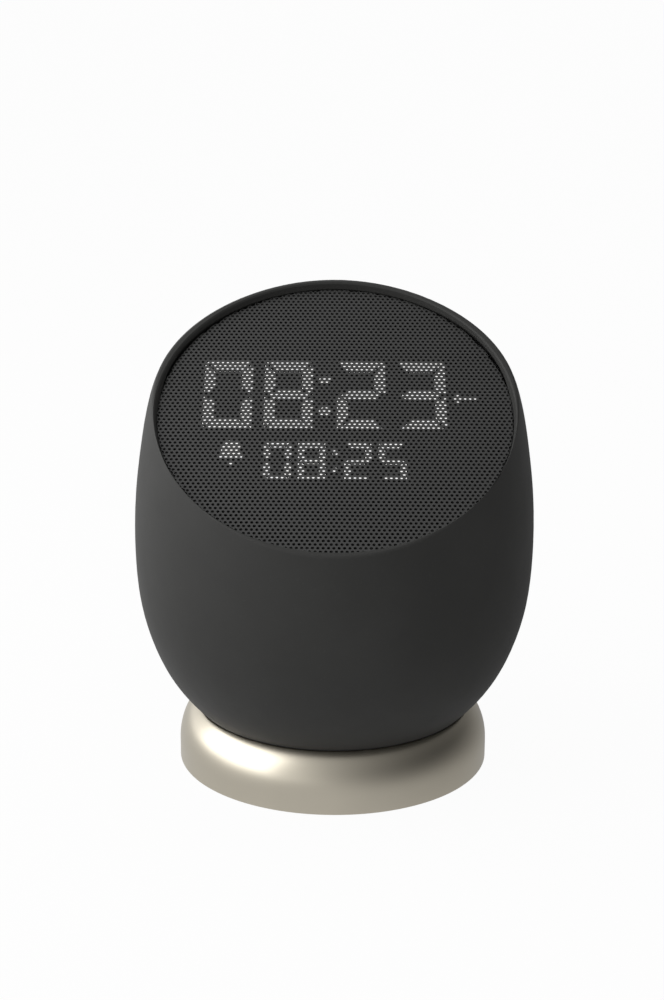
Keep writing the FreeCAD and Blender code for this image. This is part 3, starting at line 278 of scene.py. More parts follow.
@dataclass(frozen=True)
class Finish:
    """A plain moulded or painted surface with mottle, grain and uneven gloss."""

    name: str
    colour: Triple
    roughness: float = 0.5
    metallic: float = 0.0
    mottle: float = 0.08
    mottle_scale: float = 60.0
    grain_scale: float = 3500.0
    grain_detail: float = 2.0
    grain_depth: float = 0.02 * MM
    gloss_scale: float = 102.0
    gloss_change: float = 0.10
    stretch: Triple = (1.0, 1.0, 1.0)
    specular: float = 0.5
    coat: float = 0.0

    @property
    def base(self) -> Paint:
        """The linear colour."""
        return linear(self.colour)

    def tint(self, graph: Graph) -> Value | Paint:
        """Base colour, a little lighter and darker in soft patches."""
        return graph.blend(graph.noise(self.mottle_scale), shade(self.base, 1 - self.mottle),
                           shade(self.base, 1 + self.mottle))

    def gloss(self, graph: Graph) -> Value:
        """Roughness with soft changes."""
        change = graph.noise(self.gloss_scale, 2.0, self.stretch) * self.gloss_change
        return change + (self.roughness - self.gloss_change / 2)

    def height(self, graph: Graph) -> Value:
        """Surface relief before its depth."""
        return graph.noise(self.grain_scale, self.grain_detail, self.stretch)

    def values(self, graph: Graph) -> dict[str, Any]:
        """Works out the shader's inputs.

        Args:
            graph: The material's graph.

        Returns:
            The inputs by name.
        """
        return {
            "Base Color": self.tint(graph),
            "Roughness": self.gloss(graph),
            "Normal": graph.relief(self.height(graph), self.grain_depth),
            "Metallic": self.metallic,
            "Specular IOR Level": self.specular,
            "Coat Weight": self.coat,
        }

    def material(self) -> bpy.types.Material:
        """Makes the material, once for each finish.

        Returns:
            The material.
        """
        known = bpy.data.materials.get(self.name)
        if known is not None:
            return known
        graph = Graph.paint(self.name)
        shader = graph.add("ShaderNodeBsdfPrincipled", self.values(graph))
        graph.node("ShaderNodeOutputMaterial", {"Surface": shader})
        return graph.owner


@dataclass(frozen=True)
class SoftTouch(Finish):
    """Rubbery paint with a faint bloom where hands and dust dull it."""

    bloom: float = 1.3
    bloom_lift: float = 0.002
    patch_scale: float = 28.0
    patch_range: tuple[float, float] = (0.35, 0.75)
    patch_share: float = 0.45
    speck_scale: float = 1400.0
    speck_range: tuple[float, float] = (0.62, 0.78)
    speck_share: float = 0.35
    sheen: float = 0.03

    def tint(self, graph: Graph) -> Value:
        """Base colour under a faint lighter bloom.

        Args:
            graph: The material's graph.

        Returns:
            The colour.
        """
        patches = graph.noise(self.patch_scale, 4.0).ramp(*self.patch_range) * self.patch_share
        specks = graph.noise(self.speck_scale, 1.0).ramp(*self.speck_range) * self.speck_share
        pale = shade(self.base, self.bloom, self.bloom_lift)
        return graph.blend(patches + specks, self.base, pale)

    def values(self, graph: Graph) -> dict[str, Any]:
        """Adds a thin velvet sheen."""
        return {**super().values(graph), "Sheen Weight": self.sheen, "Sheen Roughness": 0.5}


@dataclass(frozen=True)
class SatinMetal(Finish):
    """Blasted and plated metal with the faint marks of turning."""

    grain_detail: float = 3.0
    turning: float = 0.25
    turning_scale: float = 9000.0

    def height(self, graph: Graph) -> Value:
        """Fine blasting over faint rings round the swivel's axis.

        Args:
            graph: The material's graph.

        Returns:
            The height.
        """
        x, y, z = graph.spot()
        rings = ((off_axis(x, y) + z) * self.turning_scale).wave()
        return super().height(graph) * (1 - self.turning) + rings * self.turning


@dataclass(frozen=True)
class BrushedMetal(Finish):
    """Rolled or plated sheet with long fine scratches along one axis."""

    grain_detail: float = 3.0
    gloss_scale: float = 2100.0
    stretch: Triple = (0.04, 1.0, 1.0)


@dataclass(frozen=True)
class Patterned(Finish):
    """A surface with painted shade: darker where its relief is low."""

    # Painted shade: the colour is multiplied by this where the relief is lowest.
    low_shade: float = 0.35

    def tint(self, graph: Graph) -> Value:
        """Base colour with painted shade in the low places."""
        return graph.blend(self.height(graph), shade(self.base, self.low_shade), self.base)


@dataclass(frozen=True)
class Woven(Patterned):
    """Plain weave: threads that pass over and under each other."""

    thread: float = 0.3 * MM

    def height(self, graph: Graph) -> Value:
        """Rows of threads both ways."""
        x, y, z = (part * (math.pi / self.thread) for part in graph.spot())
        return x.sine() * (y + z).sine() * 0.5 + 0.5


@dataclass(frozen=True)
class Ribbed(Patterned):
    """Moulded rubber, wire or film with fine parallel ribs along one axis."""

    # Painted shade in the grooves between the ribs.
    low_shade: float = 0.6
    rib: float = 1.0 * MM
    axis: int = 0

    def height(self, graph: Graph) -> Value:
        """Evenly spaced ribs."""
        return (graph.spot()[self.axis] * (FULL_TURN / self.rib)).wave()


@dataclass(frozen=True)
class Laminate(Finish):
    """Circuit board: solder mask over straight tracks."""

    track: float = 1.6 * MM
    gap_share: float = 0.62
    patch_scale: float = 90.0
    track_light: float = 1.7
    track_lift: float = 0.01
    track_share: float = 0.8

    def tint(self, graph: Graph) -> Value:
        """Tracks show as slightly lighter lines under the mask."""
        light = shade(self.base, self.track_light, self.track_lift)
        return graph.blend(self.height(graph) * self.track_share, self.base, light)

    def height(self, graph: Graph) -> Value:
        """Tracks that stand up a little and run another way in some patches.

        Args:
            graph: The material's graph.

        Returns:
            The height.
        """
        x, y, z = graph.spot()
        lines_x = (x / self.track).past_whole() > self.gap_share
        lines_y = ((y + z) / self.track).past_whole() > self.gap_share
        patch = graph.noise(self.patch_scale, 0.0) > 0.5
        return lines_x * patch + lines_y * (1 - patch)


@dataclass(frozen=True)
class LitGuide(Finish):
    """Milky light guide that glows, a little warmer in some places than in others."""

    glow: float = 0.9
    glow_scale: float = 260.0
    warm: Triple = (1.0, 0.99, 0.96)
    cool: Triple = (0.97, 0.98, 1.0)

    def tint(self, graph: Graph) -> Paint:
        """The same base colour all over."""
        return self.base

    def values(self, graph: Graph) -> dict[str, Any]:
        """Adds the glow."""
        light = graph.blend(graph.noise(self.glow_scale, 1.0), linear(self.warm), linear(self.cool))
        return {**super().values(graph), "Emission Color": light, "Emission Strength": self.glow}


class Look(Enum):
    """The finishes of the clock's pieces."""

    BODY = SoftTouch("body_soft_touch", (0.185, 0.185, 0.180), roughness=0.62, specular=0.30)
    GRILLE = Finish("grille_paint", (0.218, 0.218, 0.216), roughness=0.45, grain_scale=5000.0,
                    specular=0.45)
    BASE = SatinMetal("base_satin_nickel", (0.81, 0.782, 0.72), roughness=0.31, metallic=1.0,
                      mottle=0.03, grain_depth=0.0008 * MM, gloss_change=0.05)
    LIT = LitGuide("light_guide", (0.95, 0.95, 0.95), roughness=0.4)
    UNLIT = Finish("smoked_guide", (0.05, 0.05, 0.05), grain_depth=0.01 * MM)
    REFLECTOR = Finish("reflector_black", (0.045, 0.045, 0.045), roughness=0.7)
    MOULDING = Finish("black_moulding", (0.13, 0.13, 0.13), roughness=0.55)
    PANEL = Finish("panel_plastic", (0.17, 0.17, 0.168), roughness=0.6, grain_scale=2500.0,
                   grain_depth=0.04 * MM)
    KEY = Finish("key_plastic", (0.26, 0.26, 0.255), roughness=0.42, grain_depth=0.01 * MM)
    MARK = Finish("key_mark_ink", (0.78, 0.78, 0.77))
    CLOTH = Woven("acoustic_cloth", (0.09, 0.09, 0.09), roughness=0.95, specular=0.1,
                  grain_depth=0.08 * MM)
    SCREW = BrushedMetal("black_zinc_screw", (0.42, 0.42, 0.43), roughness=0.35, metallic=1.0)
    STEEL = BrushedMetal("zinc_plate", (0.72, 0.72, 0.70), roughness=0.32, metallic=1.0)
    BRASS = SatinMetal("turned_brass", (0.80, 0.66, 0.38), roughness=0.28, metallic=1.0,
                       turning=0.6)
    GLIDE = Finish("glide_plastic", (0.90, 0.90, 0.87), roughness=0.35)
    PLATE = Finish("powder_coat", (0.15, 0.15, 0.15), roughness=0.6, grain_scale=1800.0,
                   grain_depth=0.06 * MM)
    FOOT = Ribbed("foot_silicone", (0.20, 0.20, 0.20), roughness=0.75, rib=1.2 * MM,
                  grain_depth=0.06 * MM)
    RUBBER = Finish("soft_rubber", (0.14, 0.14, 0.14), roughness=0.8)
    FOAM = Finish("closed_foam", (0.17, 0.17, 0.17), roughness=0.95, grain_scale=1500.0,
                  grain_depth=0.1 * MM)
    BASKET = Finish("basket_paint", (0.16, 0.16, 0.16), roughness=0.4)
    PAPER = Finish("cone_paper", (0.20, 0.19, 0.18), roughness=0.9, grain_scale=1600.0,
                   grain_depth=0.08 * MM)
    SPIDER = Woven("spider_cloth", (0.62, 0.46, 0.20), roughness=0.85, thread=0.5 * MM,
                   grain_depth=0.1 * MM)
    COPPER = Ribbed("coil_winding", (0.76, 0.42, 0.22), roughness=0.3, metallic=1.0, rib=0.2 * MM,
                    axis=2)
    FERRITE = Finish("ferrite", (0.22, 0.22, 0.225), grain_scale=1500.0, grain_depth=0.04 * MM)
    BOARD = Laminate("board_laminate", (0.08, 0.30, 0.16), roughness=0.35, coat=0.3)
    CHIP = Finish("chip_moulding", (0.12, 0.12, 0.12), roughness=0.55)
    LED = Finish("led_chip", (0.93, 0.90, 0.72), roughness=0.3)
    PLUG = Finish("nylon_plug", (0.88, 0.85, 0.76))
    RIBBON = Ribbed("ribbon_film", (0.78, 0.75, 0.68), roughness=0.4)
    WIRE = Finish("wire_jacket", (0.62, 0.10, 0.09), roughness=0.45)
    CELL = Finish("cell_wrap", (0.16, 0.34, 0.62), roughness=0.28, grain_depth=0.006 * MM,
                  coat=0.2)

    def material(self) -> bpy.types.Material:
        """Returns the look's material."""
        return self.value.material()


def dress(nodes: Sequence[str], look: Look) -> None:
    """Gives carried-over CAD nodes their finish.

    Args:
        nodes: The nodes' names.
        look: Their finish.
    """
    for name in nodes:
        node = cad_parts[name]
        if node.material_slots:
            for slot in node.material_slots:
                slot.material = look.material()
        else:
            node.data.materials.append(look.material())
        log.info("dressed %s in %s", name, look.value.name)


def new_piece(name: str, mesh: bpy.types.Mesh, look: Look) -> bpy.types.Object:
    """Puts a finished mesh into the scene.

    Args:
        name: The piece's name.
        mesh: The mesh, in the frame's own place.
        look: Its finish.

    Returns:
        The new object.
    """
    mesh.name = name
    mesh.materials.clear()
    mesh.materials.append(look.material())
    piece = bpy.data.objects.new(name, mesh)
    bpy.context.scene.collection.objects.link(piece)
    log.info("made %s with %d faces", name, len(mesh.polygons))
    return piece


def round_turn(count: int, shift: float = 0.0) -> list[float]:
    """Returns angles in equal steps round a full turn."""
    return [FULL_TURN * (step + shift) / count for step in range(count)]


def band(mesh: bmesh.types.BMesh, first: Ring, second: Ring) -> None:
    """Joins two rings of as many corners with four-sided faces."""
    for index in range(len(first)):
        mesh.faces.new([first[index - 1], first[index], second[index], second[index - 1]])


def prism(mesh: bmesh.types.BMesh, outline: Outline, low: float, high: float,
          place: Matrix) -> None:
    """Adds a closed solid over an outline.

    Args:
        mesh: What it is added to.
        outline: Corners in order, anticlockwise seen from above.
        low: The lower level.
        high: The upper level.
        place: Where it goes.
    """
    lower, upper = [[mesh.verts.new(place @ Vector((x, y, level))) for x, y in outline]
                    for level in (low, high)]
    mesh.faces.new(lower[::-1])
    mesh.faces.new(upper)
    band(mesh, lower, upper)


def merged(node: str) -> bmesh.types.BMesh:
    """Copies a CAD node into an edit mesh, with its doubled corners merged.

    Args:
        node: The node's name.

    Returns:
        The edit mesh.
    """
    mesh = bmesh.new()
    mesh.from_mesh(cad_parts[node].data)
    bmesh.ops.remove_doubles(mesh, verts=mesh.verts, dist=MERGE)
    return mesh


def closed_mesh(name: str, mesh: bmesh.types.BMesh) -> bpy.types.Mesh:
    """Turns an edit mesh into a plain one with its faces outwards.

    Args:
        name: The new mesh's name.
        mesh: The edit mesh, which is freed.

    Returns:
        The plain mesh.
    """
    bmesh.ops.recalc_face_normals(mesh, faces=mesh.faces)
    made = bpy.data.meshes.new(name)
    mesh.to_mesh(made)
    mesh.free()
    return made


def islands(mesh: bmesh.types.BMesh) -> list[Ring]:
    """Groups a mesh's corners by the closed solid that they are on.

    Args:
        mesh: A merged edit mesh.

    Returns:
        One list of corners for each solid.
    """
    left = dict.fromkeys(mesh.verts)
    groups: list[Ring] = []
    while left:
        reach, group = [left.popitem()[0]], []
        while reach:
            vert = reach.pop()
            group.append(vert)
            for edge in vert.link_edges:
                other = edge.other_vert(vert)
                if other in left:
                    del left[other]
                    reach.append(other)
        groups.append(group)
    return groups


@dataclass(frozen=True)
class FacePlane:
    """The slanted plane that grille, cloth and display share."""

    tilt: float = math.radians(33.3)
    setback: float = 12.3 * MM
    height: float = 105.6 * MM

    def place(self) -> Matrix:
        """Returns the matrix from the face's own axes to the frame."""
        middle = Matrix.Translation((0.0, -self.setback, self.height))
        return middle @ Matrix.Rotation(self.tilt, 4, "X")


@dataclass(frozen=True)
class PerforatedGrille:
    """The round sheet in the mouth with staggered rows of small holes."""

    radius: float = 49.26 * MM
    thickness: float = 0.5 * MM
    pitch: float = 1.4 * MM
    hole_radius: float = 0.455 * MM
    edge: float = 0.10 * MM
    border: float = 0.14 * MM
    sliver: float = 0.06 * MM
    shift: tuple[float, float] = (0.41 * MM, 0.49 * MM)
    hole_corners: int = 8
    spare_rows: int = 2
    plane: FacePlane = FacePlane()

    def tile(self) -> bpy.types.Object:
        """Makes one six-sided cell with its hole, open at its outer sides.

        Returns:
            The cell, which the tree repeats.
        """
        mesh = bmesh.new()
        inner_mark = mesh.verts.layers.float.new("inner")
        reach = self.pitch / math.sqrt(3)
        corners, turns = round_turn(6, 0.5), round_turn(self.hole_corners, 0.5)
        rims: list[Ring] = []
        for level in (0.0, -self.thickness):
            outer, inner = [
                [mesh.verts.new((far * math.cos(a), far * math.sin(a), level)) for a in angles]
                for far, angles in ((reach, corners), (self.hole_radius, turns))
            ]
            for vert in inner:
                vert[inner_mark] = 1.0
            self._fill(mesh, list(zip(corners, outer)), list(zip(turns, inner)), level < 0)
            rims.append(inner)
        band(mesh, *rims)
        made = bpy.data.meshes.new("grille_cell")
        mesh.to_mesh(made)
        mesh.free()
        return bpy.data.objects.new("grille_cell", made)

    @staticmethod
    def _fill(
        mesh: bmesh.types.BMesh,
        outer: list[tuple[float, bmesh.types.BMVert]],
        inner: list[tuple[float, bmesh.types.BMVert]],
        flip: bool,
    ) -> None:
        """Joins two rings of corners with triangles by walking round both.

        Args:
            mesh: What the faces are added to.
            outer: The outer corners with their angles.
            inner: The inner corners with their angles.
            flip: Whether the faces point down.
        """
        start = min(range(len(inner)), key=lambda index: abs(inner[index][0] - outer[0][0]))
        inner = inner[start:] + [(turn + FULL_TURN, vert) for turn, vert in inner[:start + 1]]
        outer = outer + [(outer[0][0] + FULL_TURN, outer[0][1])]
        while len(outer) > 1 or len(inner) > 1:
            here = [outer[0][1], inner[0][1]]
            if len(inner) == 1 or (len(outer) > 1 and outer[1][0] <= inner[1][0]):
                outer = outer[1:]
                here.insert(1, outer[0][1])
            else:
                inner = inner[1:]
                here.insert(1, inner[0][1])
            mesh.faces.new(here[::-1] if flip else here)

    def tree(self, cell: bpy.types.Object) -> NodeMaker:
        """Builds the tree that lays out, welds and rims the cells.

        Args:
            cell: The cell that it repeats.

        Returns:
            The tree's maker, ready to run.
        """
        maker = NodeMaker("perforated_sheet", {
            "Pitch": self.pitch, "Radius": self.radius, "Thickness": self.thickness,
            "Margin": self.edge, "Border": self.border, "Sliver": self.sliver,
            "Shift X": self.shift[0], "Shift Y": self.shift[1],
            "Cell": cell, "Material": Look.GRILLE.material(),
        })
        pitch = maker.given("Pitch")
        row = pitch * ROW_SHARE
        half = math.ceil(self.radius / self.pitch / ROW_SHARE) + self.spare_rows
        grid = maker.add("GeometryNodeMeshGrid", {
            "Size X": pitch * (2.0 * half),
            "Size Y": row * (2.0 * half),
            "Vertices X": 2 * half + 1,
            "Vertices Y": 2 * half + 1,
        })
        stagger = round(maker.spot()[1] / row) % 2.0 * 0.5
        offset = maker.vector(stagger * pitch + maker.given("Shift X"), maker.given("Shift Y"))
        laid = maker.add("GeometryNodeSetPosition", {"Geometry": grid, "Offset": offset})
        outside = off_axis(*maker.spot()[:2]) > maker.given("Radius") - maker.given("Margin")
        kept = maker.add("GeometryNodeDeleteGeometry", {"Geometry": laid, "Selection": outside},
                         domain="POINT")
        one = maker.add("GeometryNodeObjectInfo", {"Object": maker.given("Cell")}, "Geometry")
        many = maker.add("GeometryNodeInstanceOnPoints", {"Points": kept, "Instance": one})
        cells = maker.weld(maker.add("GeometryNodeRealizeInstances", {0: many}))
        sheet = self._rim(maker, self._cut_holes(maker, cells))
        dressed = maker.add("GeometryNodeSetMaterial",
                            {"Geometry": sheet, "Material": maker.given("Material")})
        maker.node("NodeGroupOutput", {0: dressed})
        return maker

    @staticmethod
    def _cut_holes(maker: NodeMaker, cells: Value) -> Value:
        """Draws what reaches past the sheet's border back onto it, so that outer holes are cut.

        Args:
            maker: The tree's maker.
            cells: The welded cells.

        Returns:
            The cells within the border.
        """
        x, y, z = maker.spot()
        inner = maker.add("GeometryNodeInputNamedAttribute", {"Name": "inner"}, data_type="FLOAT")
        border = maker.given("Radius") - maker.given("Border")
        limit = border - inner * maker.given("Sliver")
        share = (limit / off_axis(x, y).at_least(WELD)).at_most(1.0)
        drawn = maker.vector(x * share, y * share, z)
        return maker.add("GeometryNodeSetPosition", {"Geometry": cells, "Position": drawn})

    @staticmethod
    def _rim(maker: NodeMaker, cells: Value) -> Value:
        """Moves the open border onto the sheet's edge and closes it.

        Args:
            maker: The tree's maker.
            cells: The cells within the border.

        Returns:
            The closed sheet.
        """
        faces = maker.add("GeometryNodeInputMeshEdgeNeighbors")
        border = maker.add("FunctionNodeCompare", {2: faces, 3: 1}, data_type="INT",
                           operation="EQUAL")
        x, y, z = maker.spot()
        share = maker.given("Radius") / off_axis(x, y)
        onto_edge = maker.vector(x * share, y * share, z)
        moved = maker.add("GeometryNodeSetPosition",
                          {"Geometry": cells, "Selection": border, "Position": onto_edge})
        upper = z > maker.given("Thickness") * -0.5
        chosen = maker.add("FunctionNodeBooleanMath", {0: border, 1: upper}, operation="AND")
        wall = maker.add("GeometryNodeExtrudeMesh", {
            "Mesh": moved, "Selection": chosen, "Offset": maker.vector(0.0, 0.0, -1.0),
            "Offset Scale": maker.given("Thickness"),
        }, mode="EDGES")
        return maker.weld(wall)

    def build(self) -> None:
        """Makes the sheet and lets it stand for the plain disc."""
        cell = self.tile()
        sheet = self.tree(cell).run()
        bpy.data.objects.remove(cell)
        edit = bmesh.new()
        edit.from_mesh(sheet)
        mesh = closed_mesh("perforated_grille", edit)
        bpy.data.meshes.remove(sheet)
        mesh.transform(self.plane.place())
        piece = new_piece("perforated_grille", mesh, Look.GRILLE)
        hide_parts("speaker_grille")
        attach(piece, "clock")


@dataclass(frozen=True)
class DigitRow:
    """Four digits and a colon, of which only the segments that show the time glow."""

    node: str
    shown: str
    first: float
    pitch: float
    colon: float
    middle: float
    width: float
    height: float
    plane: FacePlane = FacePlane()

    def letter(self, across: float, rise: float) -> str:
        """Names a segment by where its middle lies on its digit.

        Args:
            across: Its middle to the right of the digit's.
            rise: Its middle above the digit's.

        Returns:
            The usual letter, from a at the top clockwise to g in the middle.
        """
        if abs(across) < self.width / 4:
            return "g" if abs(rise) < self.height / 4 else ("a" if rise > 0 else "d")
        if across > 0:
            return "b" if rise > 0 else "c"
        return "f" if rise > 0 else "e"

    def glows(self, spot: Vector) -> bool:
        """Tells whether a segment or dot is lit.

        Args:
            spot: Its middle on the face.

        Returns:
            True for the dots and for the segments of the digit that is shown.
        """
        for index, digit in enumerate(self.shown):
            centre = self.first + self.pitch * index + (self.colon if index > 1 else 0.0)
            across = spot.x - centre
            if abs(across) < self.width / 2:
                return self.letter(across, spot.y - self.middle) in SEGMENTS[digit]
        return True

    def half(self, lit: bool) -> bpy.types.Mesh:
        """Copies the row with only its lit or only its dark segments.

        Args:
            lit: Which of the two.

        Returns:
            The copy.
        """
        mesh = merged(self.node)
        onto_face = self.plane.place().inverted()
        for group in islands(mesh):
            middle = sum((vert.co for vert in group), Vector()) / len(group)
            if self.glows(onto_face @ middle) != lit:
                bmesh.ops.delete(mesh, geom=group, context="VERTS")
        return closed_mesh(self.node, mesh)

    def build(self) -> None:
        """Makes the lit and the dark piece of the row."""
        for lit, look, word in ((True, Look.LIT, "lit"), (False, Look.UNLIT, "dark")):
            piece = new_piece(f"{self.node}_{word}", self.half(lit), look)
            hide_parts(self.node)
            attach(piece, "clock")


@dataclass(frozen=True)
class DustCloth:
    """Thin cloth stretched behind the grille, open round the display."""

    radius: float = 46.65 * MM
    opening: tuple[float, float] = (82.6 * MM, 48.6 * MM)
    corner: float = 12.3 * MM
    drop: float = 1.8 * MM
    front: float = -0.52 * MM
    thickness: float = 0.16 * MM
    steps: int = 160
    rings: int = 5
    halvings: int = 30
    plane: FacePlane = FacePlane()

    def inside(self, x: float, y: float) -> bool:
        """Tells whether a point of the face lies in the opening.

        Args:
            x: Its place across.
            y: Its place up the slope.

        Returns:
            True inside the rounded opening.
        """
        over_x = abs(x) - (self.opening[0] / 2 - self.corner)
        over_y = abs(y + self.drop) - (self.opening[1] / 2 - self.corner)
        return math.hypot(max(over_x, 0.0), max(over_y, 0.0)) < self.corner

    def edge(self, turn: float) -> float:
        """Finds how far out the opening's edge is.

        Args:
            turn: The direction on the face.

        Returns:
            The distance from the face's middle.
        """
        low, high = 0.0, self.radius
        for _ in range(self.halvings):
            middle = (low + high) / 2
            if self.inside(middle * math.cos(turn), middle * math.sin(turn)):
                low = middle
            else:
                high = middle
        return low

    def build(self) -> None:
        mesh = bmesh.new()
        loops: list[Ring] = []
        turns = round_turn(self.steps)
        edges = [self.edge(turn) for turn in turns]
        path = [(share / self.rings, self.front) for share in range(self.rings + 1)]
        path += [(share, self.front - self.thickness) for share, _ in reversed(path)]
        for share, level in path:
            reach = [edge + (self.radius - edge) * share for edge in edges]
            loops.append([mesh.verts.new((far * math.cos(turn), far * math.sin(turn), level))
                          for far, turn in zip(reach, turns)])
        for index, loop in enumerate(loops):
            band(mesh, loops[index - 1], loop)
        made = closed_mesh("dust_cloth_sheet", mesh)
        made.transform(self.plane.place())
        piece = new_piece("dust_cloth_sheet", made, Look.CLOTH)
        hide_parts("dust_cloth")
        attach(piece, "clock")


@dataclass(frozen=True)
class Assembly:
    """A group of pieces: some are carried over from CAD, some are made here."""

    finishes: ClassVar[dict[Look, Sequence[str]]] = {}

    def build(self) -> None:
        """Dresses the carried-over pieces, then makes the new ones."""
        for look, nodes in self.finishes.items():
            dress(nodes, look)
        self.make()

    def make(self) -> None:
        """Makes the new pieces of a group that has any."""


class Body(Assembly):
    """The egg-shaped housing with its frame and bottom."""

    finishes = {
        Look.BODY: ["outer_shell"],
        Look.MOULDING: ["bottom_cap", "front_frame"],
        Look.SCREW: ["frame_screws", "cap_screws"],
    }


@dataclass(frozen=True)
class Display(Assembly):
    """Segments in their black block, with the cloth round them."""

    finishes = {
        Look.LIT: ["display_icons"],
        Look.REFLECTOR: ["led_reflector"],
        Look.LED: ["display_leds"],
        Look.BOARD: ["display_board"],
        Look.SCREW: ["display_screws"],
        Look.RIBBON: ["display_ribbon"],
    }
    rows: tuple[DigitRow, ...] = (
        DigitRow("time_segments", "0823", first=-29.9 * MM, pitch=16.85 * MM, colon=3.4 * MM,
                 middle=7.7 * MM, width=13.5 * MM, height=25.4 * MM),
        DigitRow("alarm_segments", "0825", first=-15.7 * MM, pitch=9.35 * MM, colon=3.2 * MM,
                 middle=-16.35 * MM, width=7.5 * MM, height=13.8 * MM),
    )

    def make(self) -> None:
        """Makes the rows and the cloth."""
        for row in self.rows:
            row.build()
        DustCloth().build()


class LoudspeakerDriver(Assembly):
    """The driver behind the display."""

    finishes = {
        Look.BASKET: ["driver_basket"],
        Look.RUBBER: ["driver_surround"],
        Look.FOAM: ["driver_gasket"],
        Look.PAPER: ["driver_cone", "dust_cap"],
        Look.SPIDER: ["driver_spider"],
        Look.COPPER: ["voice_coil"],
        Look.FERRITE: ["driver_magnet"],
        Look.STEEL: ["front_plate", "driver_yoke"],
        Look.SCREW: ["driver_screws"],
        Look.WIRE: ["driver_leads"],
    }


@dataclass(frozen=True)
class KeyMark:
    """A printed sign on a key's face."""

    key: str
    outlines: list[Outline]
    thickness: float = 0.08 * MM

    def build(self) -> None:
        """Makes the sign and lets it travel with its key."""
        mesh = bmesh.new()
        spots = [vert.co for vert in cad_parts[self.key].data.vertices]
        face = max(spot.y for spot in spots)
        level = (min(spot.z for spot in spots) + max(spot.z for spot in spots)) / 2
        # Seen from behind, a sign's X runs to the right, its Y up and its Z out of the key.
        facing = Matrix(((-1, 0, 0, 0), (0, 0, 1, 0), (0, 1, 0, 0), (0, 0, 0, 1)))
        place = Matrix.Translation((0.0, face, level)) @ facing
        for outline in self.outlines:
            prism(mesh, outline, -self.thickness / 2, self.thickness, place)
        piece = new_piece(f"{self.key}_mark", closed_mesh(self.key, mesh), Look.MARK)
        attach(piece, self.key)


def bar(x: float, y: float, length: float, height: float) -> Outline:
    """Returns an upright or lying bar's corners round its centre."""
    return [(x - length / 2, y - height / 2), (x + length / 2, y - height / 2),
            (x + length / 2, y + height / 2), (x - length / 2, y + height / 2)]


def oval(rise: float, width: float, height: float, turns: Sequence[float]) -> Outline:
    """Returns points of an oval, given its centre's height and its half width and height."""
    return [(width * math.cos(turn), rise + height * math.sin(turn)) for turn in turns]


@dataclass(frozen=True)
class ControlPanel(Assembly):
    """Recessed panel at the back with its keys, board and socket."""

    finishes = {
        Look.PANEL: ["rear_panel"],
        Look.KEY: ["alarm_key", "volume_up_key", "volume_down_key", "voice_key"],
        Look.BOARD: ["key_board"],
        Look.STEEL: ["key_switches", "usb_socket"],
        Look.SCREW: ["panel_screws", "key_board_screws"],
        Look.RIBBON: ["key_ribbon"],
    }
    stroke: float = 0.5 * MM
    reach: float = 1.5 * MM
    dome_rise: float = 0.15 * MM
    dome_radius: float = 0.93 * MM
    waist: float = -0.675 * MM
    brim: float = -1.05 * MM
    brim_reach: float = 1.425 * MM
    clapper: Triple = (-1.425 * MM, 0.30 * MM, 0.24 * MM)
    wave_width: float = 0.4 * MM
    wave_shares: tuple[float, ...] = (0.3, 0.7, 1.0, 0.7, 0.3)

    def bell(self) -> list[Outline]:
        """Draws a bell with its clapper.

        Returns:
            The outlines of both.
        """
        dome = oval(self.dome_rise, self.dome_radius, self.dome_radius, round_turn(16)[:9])
        skirt = [(-self.dome_radius, self.waist), (-self.brim_reach, self.brim),
                 (self.brim_reach, self.brim), (self.dome_radius, self.waist)]
        clapper = oval(*self.clapper, round_turn(8))
        return [dome + skirt, clapper]

    def plus(self) -> list[Outline]:
        """A cross."""
        s, r = self.stroke / 2, self.reach
        return [[(s, s), (s, r), (-s, r), (-s, s), (-r, s), (-r, -s),
                 (-s, -s), (-s, -r), (s, -r), (s, -s), (r, -s), (r, s)]]

    def minus(self) -> list[Outline]:
        """A bar."""
        return [bar(0.0, 0.0, 2 * self.reach, self.stroke)]

    def waves(self) -> list[Outline]:
        """Upright bars of changing height, for the spoken time."""
        return [bar(step * 2 * self.wave_width, 0.0, self.wave_width, 2 * self.reach * share)
                for step, share in enumerate(self.wave_shares, -2)]

    def make(self) -> None:
        """Makes the signs."""
        signs = (self.bell, self.plus, self.minus, self.waves)
        for key, sign in zip(self.finishes[Look.KEY], signs):
            KeyMark(key, sign()).build()


class PowerAndBoards(Assembly):
    """Battery, tray and main board inside the body."""

    finishes = {
        Look.CELL: ["battery_cells"],
        Look.MOULDING: ["battery_cradle", "board_tray"],
        Look.STEEL: ["battery_contacts"],
        Look.SCREW: ["long_screws", "board_screws"],
        Look.BOARD: ["main_board"],
        Look.CHIP: ["board_chips"],
        Look.PLUG: ["board_plugs"],
        Look.WIRE: ["battery_leads"],
    }


@dataclass(frozen=True)
class SwivelBase(Assembly):
    """The metal base with its swivel."""

    finishes = {
        Look.PLATE: ["base_plate"],
        Look.STEEL: ["base_weight", "pivot_washer"],
        Look.FOOT: ["foot_ring"],
        Look.SCREW: ["base_screws", "pivot_screw"],
        Look.BRASS: ["swivel_hub"],
        Look.GLIDE: ["glide_ring"],
    }
    seat_reach: float = 0.42 * MM
    seat_gap: float = 0.10 * MM
    crease: float = math.radians(28.0)

    def make(self) -> None:
        """Makes the ring over with its seat drawn close to the body."""
        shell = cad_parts["outer_shell"].data
        body = BVHTree.FromPolygons([vert.co for vert in shell.vertices],
                                    [face.vertices for face in shell.polygons])
        mesh = merged("base_ring")
        for vert in mesh.verts:
            spot, _, _, distance = body.find_nearest(vert.co, self.seat_reach)
            if spot is not None and distance > self.seat_gap:
                vert.co += (spot - vert.co) * (1 - self.seat_gap / distance)
        made = closed_mesh("seated_ring", mesh)
        made.shade_smooth()
        made.set_sharp_from_angle(angle=self.crease)
        piece = new_piece("seated_ring", made, Look.BASE)
        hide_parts("base_ring")
        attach(piece, "base")


